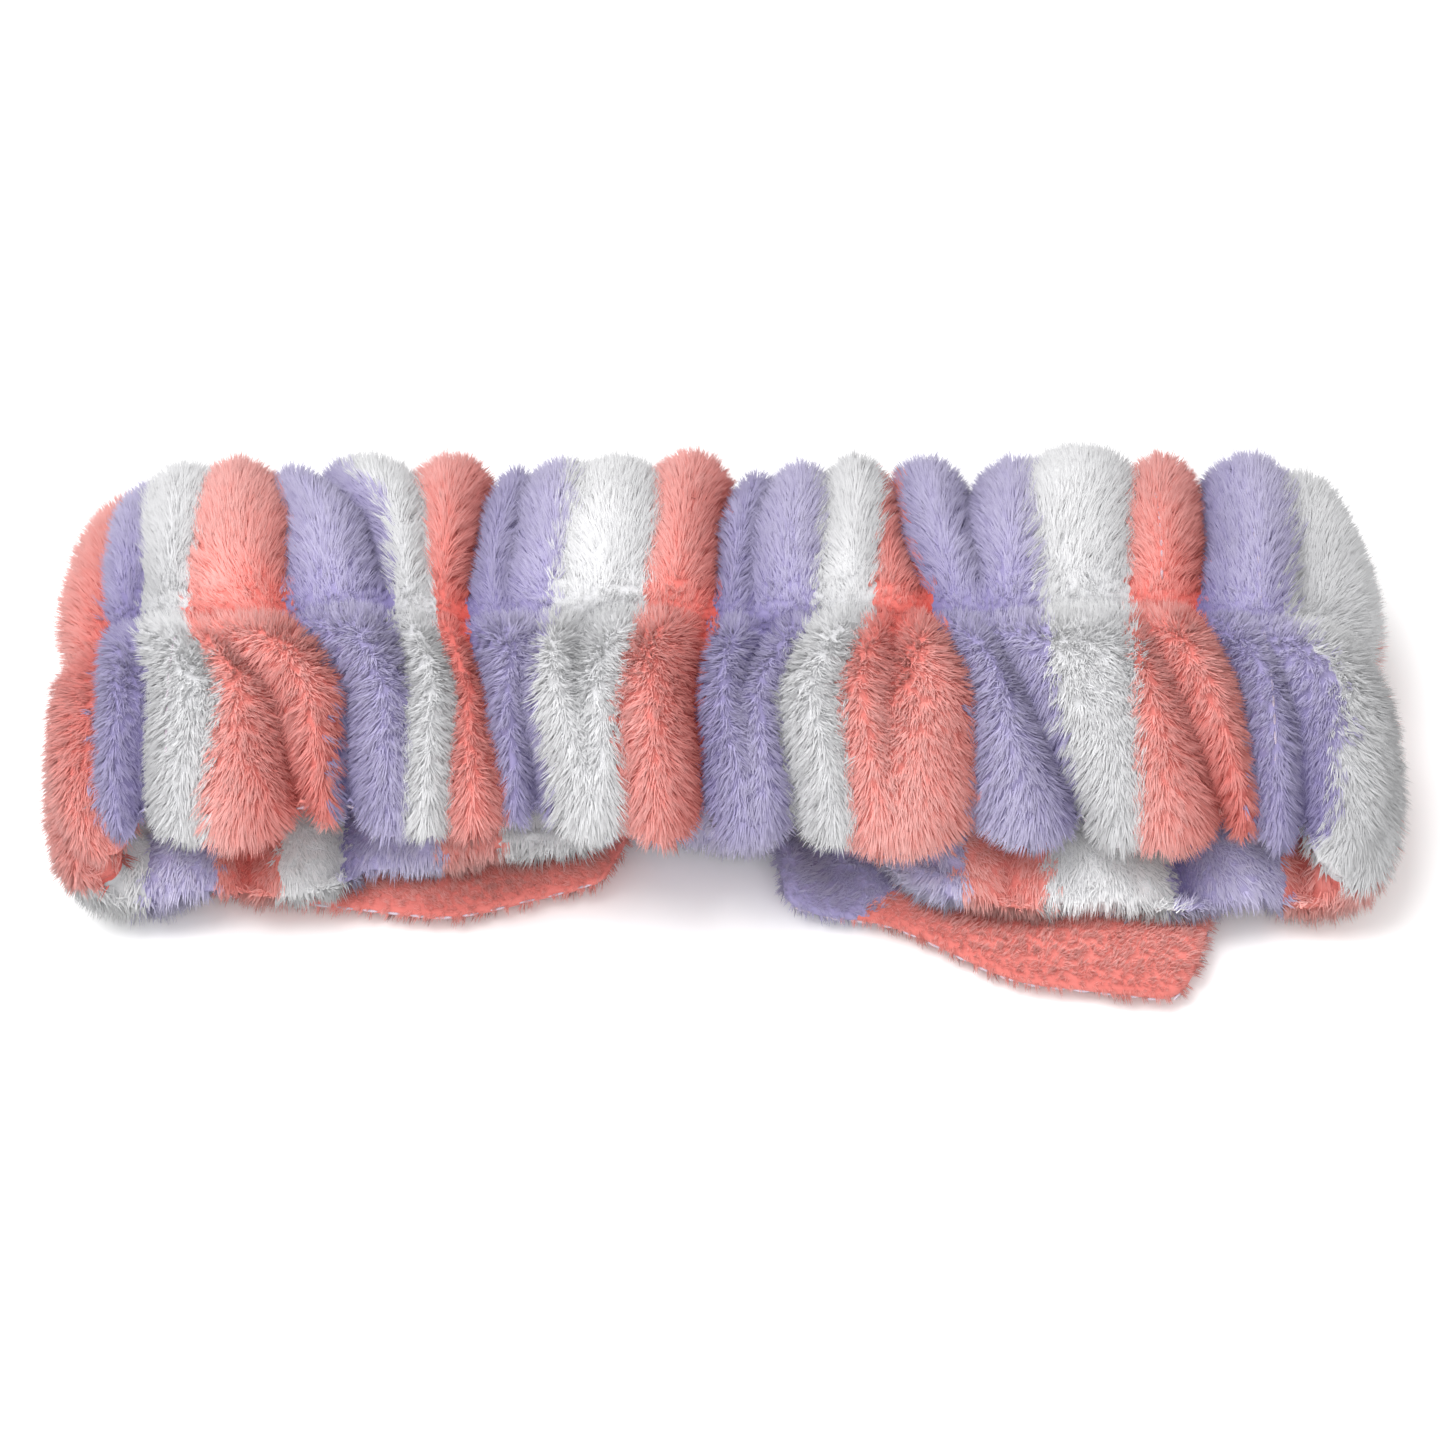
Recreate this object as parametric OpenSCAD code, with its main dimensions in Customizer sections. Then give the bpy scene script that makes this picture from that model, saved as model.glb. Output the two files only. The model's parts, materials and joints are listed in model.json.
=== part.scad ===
// Plush spa headband: an elasticated loop of striped fleece, lying pressed flat on the bow at its front.
// The loop is a soft tube of two plies. Its gathered back half is on top, its front half is below,
// and a bow with a knot wrap is fixed to the middle of the front half, against the surface it lies on.

/* [Band] */
// Width of the loop when it lies flat
flat_w = 230; // [200:1:260]
// Height of the fleece tube, edge to edge
band_h = 76; // [64:1:90]
// Thickness of one layer of the tube at its fattest
layer_t = 12; // [10:0.5:12]
// Radius of the turn at each end, at the middle of the tube
turn_r = 11; // [11:0.5:12]
// How far the sewn edges of the gathered layer hang down
back_sag = 5; // [2:0.5:5]
// Height of the ruffles at the edges of the gathered layer
ruffle_h = 1.6; // [0:0.1:1.8]
// Distance between two ruffles
ruffle_pitch = 21; // [18:0.5:30]

/* [Elastic] */
// Width of the elastic inside the back half
elastic_w = 25; // [15:1:26]
// Thickness of the elastic
elastic_t = 1.2; // [0.8:0.1:1.2]

/* [Bow] */
// Width of the bow, tip to tip
bow_w = 170; // [140:1:172]
// Height of each wing of the bow
bow_h = 92; // [70:1:96]
// Height of the bow where the knot pinches it
waist_h = 24; // [18:1:26]
// Angle at which the bow lies under the band
bow_turn = -8; // [-8:1:8]
// Width of the wrap around the knot
wrap_w = 26; // [20:1:30]

/* [Hidden] */

coral = [0.96, 0.56, 0.53];
lavender = [0.72, 0.68, 0.86];
white = [0.93, 0.92, 0.94];
thread = [0.86, 0.84, 0.88];

// The bow: two plies, one above the other, that rise over the wrap's lower strap at the waist.
ply_t = 2;
ply_gap = 0.6;          // room between the bow's plies for their stitching
waist_lift = 3;
bow_tip = 15;           // length of the rounded end of a wing
wrap_t = 2;
wrap_clear = 6.5;       // lets the bow swivel about the band
waist_thread_d = 0.5;

// The band: the height of the middle of each layer, and the end of its flat part.
wing_gap = 0.3;         // between the waist and a wing, at the fold
half_t = layer_t / 2;
edge_t = 1.4;           // half thickness at a sewn edge
pinch_t = 2.4;          // half thickness along the elastic's stitching
waist_t = 4.4;          // half thickness inside the knot wrap
front_z = 13;
back_z = front_z + 2 * turn_r;
mid_z = front_z + turn_r;
flat_x = flat_w / 2 - turn_r - half_t;
front_sag = 3.5;
end_sag = 2.5;
band_waist = 30;        // height of the band inside the knot wrap

// The loop is measured along its middle line from the middle of the back, to the left.
turn_l = PI * turn_r;
loop_l = 4 * flat_x + 2 * turn_l;
join_s = flat_w / 2 - 22;               // the seams between the back and the front strip
tack_s = join_s - 16;                   // the rows that tack the ends of the elastic
equator_s = flat_x + turn_l / 2;        // where the loop turns from the upper to the lower layer
knot_s = loop_l / 2;
body_gap = 0.3;

function smooth(a, b, x) = let (t = min(1, max(0, (x - a) / (b - a)))) t * t * (3 - 2 * t);
function mix(a, b, t) = a + (b - a) * t;

// Direction that faces out of the loop at s, as an angle in the XZ plane: 90 is up.
function facing(s) =
    s < flat_x ? 90 :
    s < flat_x + turn_l ? 90 + (s - flat_x) / turn_l * 180 :
    s < 3 * flat_x + turn_l ? 270 :
    s < 3 * flat_x + 2 * turn_l ? 270 + (s - 3 * flat_x - turn_l) / turn_l * 180 : 450;
function along_x(s) =
    s < flat_x ? -s :
    s < flat_x + turn_l ? -flat_x :
    s < 3 * flat_x + turn_l ? s - turn_l - 2 * flat_x :
    s < 3 * flat_x + 2 * turn_l ? flat_x : loop_l - s;
function middle(s) = [along_x(s) + turn_r * cos(facing(s)), mid_z + turn_r * sin(facing(s))];

// Distance from the knot and from the middle of the back, along the loop.
function from_knot(s) = abs(s - knot_s);
function from_back(s) = min(abs(s), abs(loop_l - s));
function half_h(s) = mix(band_waist / 2, band_h / 2, smooth(13, 42, from_knot(s)));
function signed(s) = s > knot_s ? s - loop_l : s;
function backness(s) = 1 - smooth(join_s, equator_s + turn_l, from_back(s));

// Half thickness of the tube at s and v, where v goes from -1 at the near edge to 1 at the far edge.
// The back has two lobes with the stitched elastic between them, and the front has one.
function lobe(v) = sqrt(max(0, 1 - pow(2 * abs(v) - 1, 2)));
function pillow(v) = sqrt(max(0, 1 - v * v));
function half_thick(s, v) =
    let (
        back = mix(pinch_t, edge_t, abs(v)) + (half_t - 1.9) * lobe(v),
        full = mix(waist_t, half_t, smooth(10, 45, from_knot(s))),
        front = edge_t + (full - edge_t) * pillow(v)
    ) mix(front, back, backness(s));
function ruffle(s, v) =
    ruffle_h * backness(s) * smooth(0.4, 1, abs(v)) * sin(360 * signed(s) / ruffle_pitch + (v > 0 ? 0 : 70));
function sag(s, v) =
    mix(front_sag, back_sag, backness(s)) * v * v * smooth(6, 60, from_knot(s))
    + end_sag * smooth(80, flat_w / 2, abs(middle(s)[0]));

// A point of the loop, off is its distance out from the middle of the tube.
function on_loop(s, v, off) =
    let (
        c = middle(s),
        out = off + ruffle(s, v)
    ) [c[0] + out * cos(facing(s)), v * half_h(s), c[1] + out * sin(facing(s)) - sag(s, v)];

// How far each ply stands off the middle of the tube: more beside the elastic and at the edge stitching.
pocket = (elastic_w + 2.4) / band_h;    // half the width of the elastic's channel, as a v
function inner_gap(v) =
    abs(v) > 0.88 ? 0.4 :
    abs(v) <= pocket ? elastic_t / 2 + 0.25 : 0.15;

// A closed solid between two surfaces that share one grid of rows and columns.
module between(top, bottom) {
    rows = len(top);
    cols = len(top[0]);
    n = rows * cols;
    points = concat([for (row = top) each row], [for (row = bottom) each row]);
    faces = concat(
        [for (i = [0:rows - 2], j = [0:cols - 2])
            each [[i * cols + j, i * cols + j + 1, (i + 1) * cols + j + 1],
                  [i * cols + j, (i + 1) * cols + j + 1, (i + 1) * cols + j]]],
        [for (i = [0:rows - 2], j = [0:cols - 2])
            each [[n + i * cols + j, n + (i + 1) * cols + j + 1, n + i * cols + j + 1],
                  [n + i * cols + j, n + (i + 1) * cols + j, n + (i + 1) * cols + j + 1]]],
        [for (i = [0:rows - 2], j = [0, cols - 1])
            let (a = i * cols + j, b = (i + 1) * cols + j)
            each (j == 0 ? [[a, b, n + b], [a, n + b, n + a]] : [[b, a, n + a], [b, n + a, n + b]])],
        [for (j = [0:cols - 2], i = [0, rows - 1])
            let (a = i * cols + j, b = a + 1)
            each (i == 0 ? [[b, a, n + a], [b, n + a, n + b]] : [[a, b, n + b], [a, n + b, n + a]])]
    );
    polyhedron(points = points, faces = faces, convexity = 6);
}

// One ply of the tube from s0 to s1: side 1 is the outer ply, side -1 the lining.
half_columns = [pocket / 2, pocket, 0.5, 0.6, 0.75, 0.87, 0.94, 1];
columns = concat([for (i = [7:-1:0]) -half_columns[i]], [0], half_columns);
module ply(s0, s1, side, steps) {
    stations = [for (i = [0:steps]) mix(s0, s1, i / steps)];
    far = [for (s = stations) [for (v = columns) on_loop(s, v, side * half_thick(s, v))]];
    near = [for (s = stations) [for (v = columns) on_loop(s, v, side * inner_gap(v))]];
    if (side > 0) between(far, near);
    else between(near, far);
}

// One stitch: a short round length of thread from p to q.
module stitch(p, q, d = 0.5) {
    span = q - p;
    translate(p)
        rotate([0, acos(span[2] / norm(span)), atan2(span[1], span[0])])
            cylinder(h = norm(span), d = d, $fn = 16);
}

// A row of stitches along the loop at v, off the middle of the tube by off.
module loop_row(s0, s1, v, off, pitch = 8, length = 3) {
    count = floor((s1 - s0) / pitch);
    for (i = [0:count])
        let (s = s0 + i * pitch)
            stitch(on_loop(s, v, off), on_loop(s + length, v, off));
}

module edge_row(s0, s1) {
    for (v = [-0.94, 0.94]) loop_row(s0, s1, v, 0);
}

// A row of stitches across the tube at s, lying on the outer ply.
module join_row(s, v0 = -0.8, v1 = 0.74, count = 13) {
    above = 0.45;
    for (i = [0:count - 1])
        let (v = mix(v0, v1, i / (count - 1)))
            stitch(on_loop(s, v, half_thick(s, v) + above), on_loop(s, v + 0.06, half_thick(s, v + 0.06) + above));
}

module front_outer_panel() {
    color(coral) ply(equator_s + body_gap / 2, loop_l - equator_s - body_gap / 2, 1, 54);
}

module front_lining_panel() {
    color(white) ply(equator_s + body_gap / 2, loop_l - equator_s - body_gap / 2, -1, 54);
}

module front_edge_stitching() {
    color(thread) edge_row(equator_s + turn_l, loop_l - equator_s - turn_l);
}

module back_outer_panel() {
    color(lavender) ply(-join_s + 0.1, join_s - 0.1, 1, 56);
}

module back_lining_panel() {
    color(white) ply(-join_s + 0.1, join_s - 0.1, -1, 56);
}

module back_edge_stitching() {
    color(thread) edge_row(-join_s + 3, join_s - 6);
}

// The part of a ply between the back and the front, from s0 on.
module turn_ply(s0, side) {
    ply(s0, s0 + equator_s - join_s - 0.1 - body_gap / 2, side, 10);
}

module left_turn_outer() {
    color(coral) turn_ply(join_s + 0.1, 1);
}

module left_turn_lining() {
    color(white) turn_ply(join_s + 0.1, -1);
}

module right_turn_outer() {
    color(coral) turn_ply(loop_l - equator_s + body_gap / 2, 1);
}

module right_turn_lining() {
    color(white) turn_ply(loop_l - equator_s + body_gap / 2, -1);
}

module elastic_strip() {
    end = join_s - 0.5;
    edge = elastic_w / band_h;
    steps = 28;
    stations = [for (i = [0:steps]) mix(-end, end, i / steps)];
    across = [for (j = [-2:2]) edge * j / 2];
    color(white) between(
        [for (s = stations) [for (v = across) on_loop(s, v, elastic_t / 2)]],
        [for (s = stations) [for (v = across) on_loop(s, v, -elastic_t / 2)]]
    );
}

module elastic_stitching() {
    color(thread) for (side = [-1, 1])
        loop_row(-join_s + 4, join_s - 6, 0, side * (pinch_t + 0.35), 6, 3.5);
}

module elastic_tack_stitching() {
    color(thread) for (s = [-tack_s, tack_s]) join_row(s, 0.1, 0.6, 5);
}

module left_join_stitching() {
    color(thread) join_row(join_s + 1.2);
}

module right_join_stitching() {
    color(thread) join_row(loop_l - join_s - 1.2);
}

// The outline of the bow: narrow at the knot, full at the wings, with rounded tips.
function bow_half(x) =
    let (
        full = mix(waist_h / 2, bow_h / 2, smooth(11, 29, abs(x))),
        tip = max(0, (abs(x) - (bow_w / 2 - bow_tip)) / bow_tip)
    ) full * pow(max(0, 1 - pow(tip, 2.3)), 1 / 2.3);
bow_xs = concat(
    [for (i = [0:6]) -bow_w / 2 + bow_tip * (1 - cos(90 * i / 6))],
    [for (i = [-13:14]) let (t = i / 14) (bow_w / 2 - bow_tip) * t * mix(0.45, 1, t * t)],
    [for (i = [1:6]) bow_w / 2 - bow_tip * (1 - sin(90 * i / 6))]
);
module bow_outline() {
    upper = [for (i = [len(bow_xs) - 2:-1:1]) [bow_xs[i], bow_half(bow_xs[i])]];
    polygon(concat([for (x = bow_xs) [x, -bow_half(x)]], upper));
}

// A part of the bow from x0 to x1 and z0 to z1, where z is 0 at the underside of the wings.
// The bow slopes up from the wings to the waist, to pass over the lower strap of the wrap.
waist_flat = wrap_w / 2 + 1;
waist_slope = waist_flat + 10;
module bow_part(x0, x1, z0, z1) {
    side = [
        [-bow_w, z0], [-waist_slope, z0], [-waist_flat, z0 + waist_lift],
        [waist_flat, z0 + waist_lift], [waist_slope, z0], [bow_w, z0],
        [bow_w, z1], [waist_slope, z1], [waist_flat, z1 + waist_lift],
        [-waist_flat, z1 + waist_lift], [-waist_slope, z1], [-bow_w, z1]
    ];
    intersection() {
        linear_extrude(height = 20) bow_outline();
        rotate([90, 0, 0]) linear_extrude(height = 2 * bow_h, center = true) polygon(side);
        translate([x0, -bow_h, 0]) cube([x1 - x0, 2 * bow_h, 20]);
    }
}

module in_bow() {
    rotate([0, 0, bow_turn]) children();
}

// A ply of one wing: side is 1 on the right and -1 on the left.
module wing_ply(side, z) {
    x = waist_flat + wing_gap;
    in_bow() rotate([0, 0, side > 0 ? 0 : 180]) bow_part(x, bow_w, z, z + ply_t);
}

module wing_stitching(side) {
    inset = 3;
    z = ply_t + ply_gap / 2;
    first = waist_slope + 3;
    last = bow_w / 2 - bow_tip;
    count = 6;
    in_bow() for (edge = [-1, 1], i = [0:count])
        let (
            x = mix(first, last, i / count),
            p = [side * x, edge * (bow_half(x) - inset), z],
            q = [side * (x + 3), edge * (bow_half(x + 3) - inset), z]
        ) stitch(p, q);
}

module left_wing_upper_ply() {
    color(lavender) wing_ply(-1, ply_t + ply_gap);
}

module left_wing_lower_ply() {
    color(coral) wing_ply(-1, 0);
}

module left_wing_edge_stitching() {
    color(thread) wing_stitching(-1);
}

module right_wing_upper_ply() {
    color(lavender) wing_ply(1, ply_t + ply_gap);
}

module right_wing_lower_ply() {
    color(coral) wing_ply(1, 0);
}

module right_wing_edge_stitching() {
    color(thread) wing_stitching(1);
}

// Both plies gathered together inside the wrap.
module bow_waist() {
    color(lavender) in_bow() bow_part(-waist_flat, waist_flat, 0, 2 * ply_t + ply_gap);
}

// A ring in the YZ plane with rounded corners, hy and hz from its middle, as a polygon.
function round_box(hy, z0, z1, r) = [
    for (corner = [[1, 1, 0], [-1, 1, 90], [-1, -1, 180], [1, -1, 270]], a = [0:15:90])
        [corner[0] * (hy - r) + r * cos(corner[2] + a),
         (corner[1] > 0 ? z1 - r : z0 + r) + r * sin(corner[2] + a)]
];
module ring(hy, z0, z1, r, wall, width) {
    rotate([90, 0, 90]) linear_extrude(height = width, center = true) difference() {
        polygon(round_box(hy, z0, z1, r));
        polygon(round_box(hy - wall, z0 + wall, z1 - wall, r - wall));
    }
}

wrap_hy = band_waist / 2 + wrap_clear + wrap_t;
wrap_top = front_z + waist_t + 0.6 + wrap_t;
module knot_wrap() {
    color(lavender) in_bow() ring(wrap_hy, 0, wrap_top, 5, wrap_t, wrap_w);
}

module knot_wrap_stitching() {
    color(thread) in_bow() for (i = [-2:2])
        translate([i * 4.5 - 1.5, 0, wrap_top + 0.35]) rotate([0, 90, 0]) cylinder(h = 3, d = 0.5, $fn = 16);
}

module bow_waist_thread() {
    clear = 0.15;
    low = waist_lift - clear - waist_thread_d;
    high = waist_lift + 2 * ply_t + ply_gap + clear + waist_thread_d;
    reach = bow_half(6) + clear + waist_thread_d;
    color(thread) in_bow() for (i = [-1:1])
        translate([2 * i, 0, 0]) ring(reach, low, high, 1, waist_thread_d, waist_thread_d);
}

front_outer_panel();
front_lining_panel();
front_edge_stitching();
back_outer_panel();
back_lining_panel();
back_edge_stitching();
left_turn_outer();
left_turn_lining();
right_turn_outer();
right_turn_lining();
elastic_strip();
elastic_stitching();
elastic_tack_stitching();
left_join_stitching();
right_join_stitching();
left_wing_upper_ply();
left_wing_lower_ply();
left_wing_edge_stitching();
right_wing_upper_ply();
right_wing_lower_ply();
right_wing_edge_stitching();
bow_waist();
bow_waist_thread();
knot_wrap();
knot_wrap_stitching();
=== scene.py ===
"""Looks for a plush spa headband: striped fleece covers, their pile, the bow, the knot and the sewing.

Lengths in this file are millimetres unless a name says otherwise. Meshes are made in metres.
The band is a loop of tube. s runs along the loop's middle line, 0 in the middle of the gathered back and
positive towards the left end. r runs across a ply, from 0 at the near edge to 1 at the far edge.
"""

import json
import math

import bpy
import numpy as np
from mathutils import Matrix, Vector

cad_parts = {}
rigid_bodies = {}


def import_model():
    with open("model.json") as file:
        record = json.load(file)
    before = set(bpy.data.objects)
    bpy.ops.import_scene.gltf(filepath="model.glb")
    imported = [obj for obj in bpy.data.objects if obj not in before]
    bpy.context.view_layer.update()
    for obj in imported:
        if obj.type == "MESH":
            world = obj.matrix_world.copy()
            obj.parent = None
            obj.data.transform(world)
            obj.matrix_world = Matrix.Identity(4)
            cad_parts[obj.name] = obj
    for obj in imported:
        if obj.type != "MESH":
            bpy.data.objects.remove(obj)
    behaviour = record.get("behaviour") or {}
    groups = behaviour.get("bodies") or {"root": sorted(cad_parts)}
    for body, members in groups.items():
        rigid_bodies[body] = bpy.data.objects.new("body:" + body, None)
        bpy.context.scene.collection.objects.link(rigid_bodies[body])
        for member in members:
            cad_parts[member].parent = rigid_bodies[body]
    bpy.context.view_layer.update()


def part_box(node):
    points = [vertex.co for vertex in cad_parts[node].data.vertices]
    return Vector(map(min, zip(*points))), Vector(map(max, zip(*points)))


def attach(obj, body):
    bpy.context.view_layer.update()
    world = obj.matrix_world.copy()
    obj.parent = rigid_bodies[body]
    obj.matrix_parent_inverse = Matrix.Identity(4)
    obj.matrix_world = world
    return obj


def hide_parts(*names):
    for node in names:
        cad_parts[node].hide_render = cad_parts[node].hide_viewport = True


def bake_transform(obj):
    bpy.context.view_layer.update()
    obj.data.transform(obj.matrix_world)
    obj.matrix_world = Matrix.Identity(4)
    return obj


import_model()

bl_info = {
    "name": "Plush Headband Looks",
    "version": (1, 0, 0),
    "blender": (4, 5, 0),
    "location": "3D View > Sidebar > Headband",
    "description": "Builds the fleece covers, pile, bow and sewing of a plush spa headband around its frame",
    "category": "Add Mesh",
}

MM = 0.001


def box_mm(node):
    """Lowest and highest corner of a CAD node, in millimetres."""
    return [[x / MM for x in corner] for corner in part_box(node)]


# Sizes of the frame that the covers follow.
LAYER_T = 12.0
WRAP_OVER = 7.0
HALF_W = max(box_mm("front_outer_panel")[1][0], -box_mm("front_outer_panel")[0][0])
HALF_H = box_mm("back_lining_panel")[1][1]
FRONT_Z = box_mm("knot_wrap")[1][2] - WRAP_OVER
BACK_Z = box_mm("elastic_strip")[1][2] - 0.6
TURN_R = (BACK_Z - FRONT_Z) / 2
MID_Z = (BACK_Z + FRONT_Z) / 2
FLAT_X = HALF_W - TURN_R - LAYER_T / 2
TURN_L = math.pi * TURN_R
LOOP_L = 4 * FLAT_X + 2 * TURN_L
EQUATOR_S = FLAT_X + TURN_L / 2
JOIN_S = HALF_W - 22
TACK_S = JOIN_S - 16
KNOT_HALF_H = 15.0
FLOOR_Z = -1.5
PILE_REACH = 4.4
BOW_TURN = math.radians(-8)
BOW_HALF_W = 91.0
BOW_HALF_H = 46.0
WAIST_HALF_H = 12.0
WRAP_HALF_W = 13.0
HALF_WRAP = 23.5
WAIST_FLAT = 14.0

# Where one stripe of the gathered back meets the next, from left to right, as x on the far edge,
# in the middle of the far lobe, on the elastic's seam, in the middle of the near lobe and on the near edge.
STRIPE_V = (1.0, 0.5, 0.0, -0.5, -1.0)
BACK_STRIPES = [
    (-122, -122, -122, -122, -122), (-112, -112, -113, -109.5, -110), (-107, -104, -104, -98, -99.5),
    (-93, -93, -94, -85.5, -88), (-82, -77.5, -76, -65.5, -66), (-69, -58, -57.5, -54, -54),
    (-55, -52.5, -50, -45.5, -46.5), (-40.5, -43, -45, -40.5, -36.5), (-28, -28, -30, -32, -28.5),
    (-12, -12, -13.5, -18.5, -17.5), (3.5, -0.5, -1.5, -4, -3), (17, 17, 16, 9, 11.5),
    (27.5, 27.5, 26.5, 20, 22),
    (31, 33, 37, 43, 43), (57, 54.5, 55.5, 57, 61.5), (75, 72, 71.5, 70.5, 70.5), (87.5, 86, 83.5, 89, 91),
    (104, 102, 99, 107, 106), (119, 119, 119, 121, 121),
]
FRONT_STRIPES = [-101, -87.5, -77, -66, -49, -39, -22.5, -7, 5, 16, 42, 56, 78, 98]

# Creases of the gathered back: the stripe edge that each starts at on the seam, counted from the left,
# and the one it ends at on the edge of the band, then how deep it is at its start and at its end.
FAR_CREASES = [
    (1.0, 1.0, 0.8, 0.4), (2.0, 2.0, 0.9, 0.35), (3.0, 3.0, 0.4, 0.3), (4.0, 4.0, 0.85, 0.55),
    (4.95, 4.55, 0.9, 0.8), (5.8, 5.9, 0.7, 0.5), (7.0, 6.95, 1.0, 0.95), (7.5, 7.45, 0.75, 0.6),
    (8.1, 8.2, 0.3, 0.2), (9.0, 9.0, 0.35, 0.5),
    (10.0, 9.95, 0.95, 0.95), (10.35, 10.45, 0.8, 0.6), (11.1, 11.2, 0.4, 0.6), (12.0, 12.2, 0.5, 0.3),
    (12.9, 12.75, 1.0, 0.85), (13.5, 13.55, 0.6, 0.9), (14.1, 14.0, 0.35, 0.3), (15.0, 15.0, 0.6, 0.5),
    (16.0, 15.95, 1.0, 0.95), (16.3, 16.25, 0.5, 0.3), (17.15, 17.0, 0.85, 0.35), (17.7, 17.6, 0.2, 0.4),
]
NEAR_CREASES = [
    (0.3, 0.5, 0.3, 0.5), (1.0, 1.0, 0.9, 0.55), (1.9, 2.0, 0.6, 0.95), (3.0, 2.9, 0.4, 0.3),
    (3.1, 3.75, 0.3, 1.0),
    (4.05, 4.2, 0.75, 0.95), (5.0, 5.1, 0.8, 0.35), (5.9, 6.0, 0.75, 0.55), (6.95, 6.9, 1.0, 0.65),
    (7.9, 7.6, 0.3, 0.95), (8.35, 8.7, 0.75, 0.1), (9.0, 9.1, 0.3, 0.5), (9.9, 10.0, 0.95, 1.0),
    (10.55, 10.6, 1.0, 0.2), (11.0, 11.1, 0.5, 0.8), (12.0, 12.0, 0.5, 0.35), (12.4, 12.3, 0.95, 0.1),
    (13.0, 13.0, 0.75, 0.65), (13.35, 14.0, 0.45, 0.95), (14.9, 15.0, 0.3, 0.3), (15.05, 15.75, 0.35, 1.0),
    (16.0, 16.05, 0.85, 0.75), (16.55, 16.75, 0.35, 1.0), (17.6, 17.5, 0.55, 0.25),
]
WHITE, LAVENDER, CORAL = 0, 1, 2
DYES = {WHITE: "white", LAVENDER: "lavender", CORAL: "coral"}


# ---------------------------------------------------------------- settings

class BandSettings(bpy.types.PropertyGroup):
    puff: bpy.props.FloatProperty(
        name="Puff", description="Height of the ruffles of the gathered back, in mm",
        default=7.5, min=0, max=9)
    crease: bpy.props.FloatProperty(
        name="Crease", description="Half width of a crease between two ruffles, in mm",
        default=3.1, min=1, max=8)
    front_puff: bpy.props.FloatProperty(
        name="Front Puff", description="Height of the folds of the ungathered front, in mm",
        default=3.4, min=0, max=6)
    seed: bpy.props.IntProperty(
        name="Seed", description="Places the creases that are out of sight", default=7)


class PileSettings(bpy.types.PropertyGroup):
    length: bpy.props.FloatProperty(
        name="Length", description="Length of the pile, in mm", default=4.1, min=1, max=12)
    lean: bpy.props.FloatProperty(
        name="Lean", description="How far the pile is combed over", default=0.45, min=0, max=3)
    spread: bpy.props.FloatProperty(
        name="Spread", description="How far neighbouring locks point apart", default=0.2, min=0, max=2)
    density: bpy.props.FloatProperty(
        name="Density", description="Locks to a square mm where the coat is full",
        default=1.28, min=0.1, max=5)
    seed: bpy.props.IntProperty(name="Seed", description="Places the locks", default=3)


class DyeSettings(bpy.types.PropertyGroup):
    coral: bpy.props.FloatVectorProperty(
        name="Coral", description="Dye of the coral stripes", subtype="COLOR", size=3,
        default=(0.96, 0.48, 0.44), min=0, max=1)
    lavender: bpy.props.FloatVectorProperty(
        name="Lavender", description="Dye of the lavender stripes", subtype="COLOR", size=3,
        default=(0.64, 0.60, 0.80), min=0, max=1)
    white: bpy.props.FloatVectorProperty(
        name="White", description="Colour of the undyed stripes", subtype="COLOR", size=3,
        default=(0.88, 0.88, 0.89), min=0, max=1)
    thread: bpy.props.FloatVectorProperty(
        name="Thread", description="Colour of the sewing thread", subtype="COLOR", size=3,
        default=(0.62, 0.52, 0.60), min=0, max=1)


class StageSettings(bpy.types.PropertyGroup):
    distance: bpy.props.FloatProperty(
        name="Distance", description="From the camera to the middle of the band, in mm", default=650, min=200)
    elevation: bpy.props.FloatProperty(
        name="Elevation", description="Height of the camera above the horizon", subtype="ANGLE",
        default=math.radians(48))
    view_w: bpy.props.FloatProperty(
        name="View Width", description="Width of the picture at the middle of the band, in mm",
        default=256, min=50)


# ---------------------------------------------------------------- node trees

class Sock:
    """An output of a node, with arithmetic that adds Math nodes."""

    def __init__(self, tree, socket):
        self.tree, self.socket = tree, socket

    def _math(self, operation, a, b):
        return self.tree.add("ShaderNodeMath", {"operation": operation}, {0: a, 1: b})

    def __add__(self, other):
        return self._math("ADD", self, other)

    def __radd__(self, other):
        return self._math("ADD", other, self)

    def __sub__(self, other):
        return self._math("SUBTRACT", self, other)

    def __rsub__(self, other):
        return self._math("SUBTRACT", other, self)

    def __mul__(self, other):
        return self._math("MULTIPLY", self, other)

    def __rmul__(self, other):
        return self._math("MULTIPLY", other, self)

    def __pow__(self, other):
        return self._math("POWER", self, other)


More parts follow.
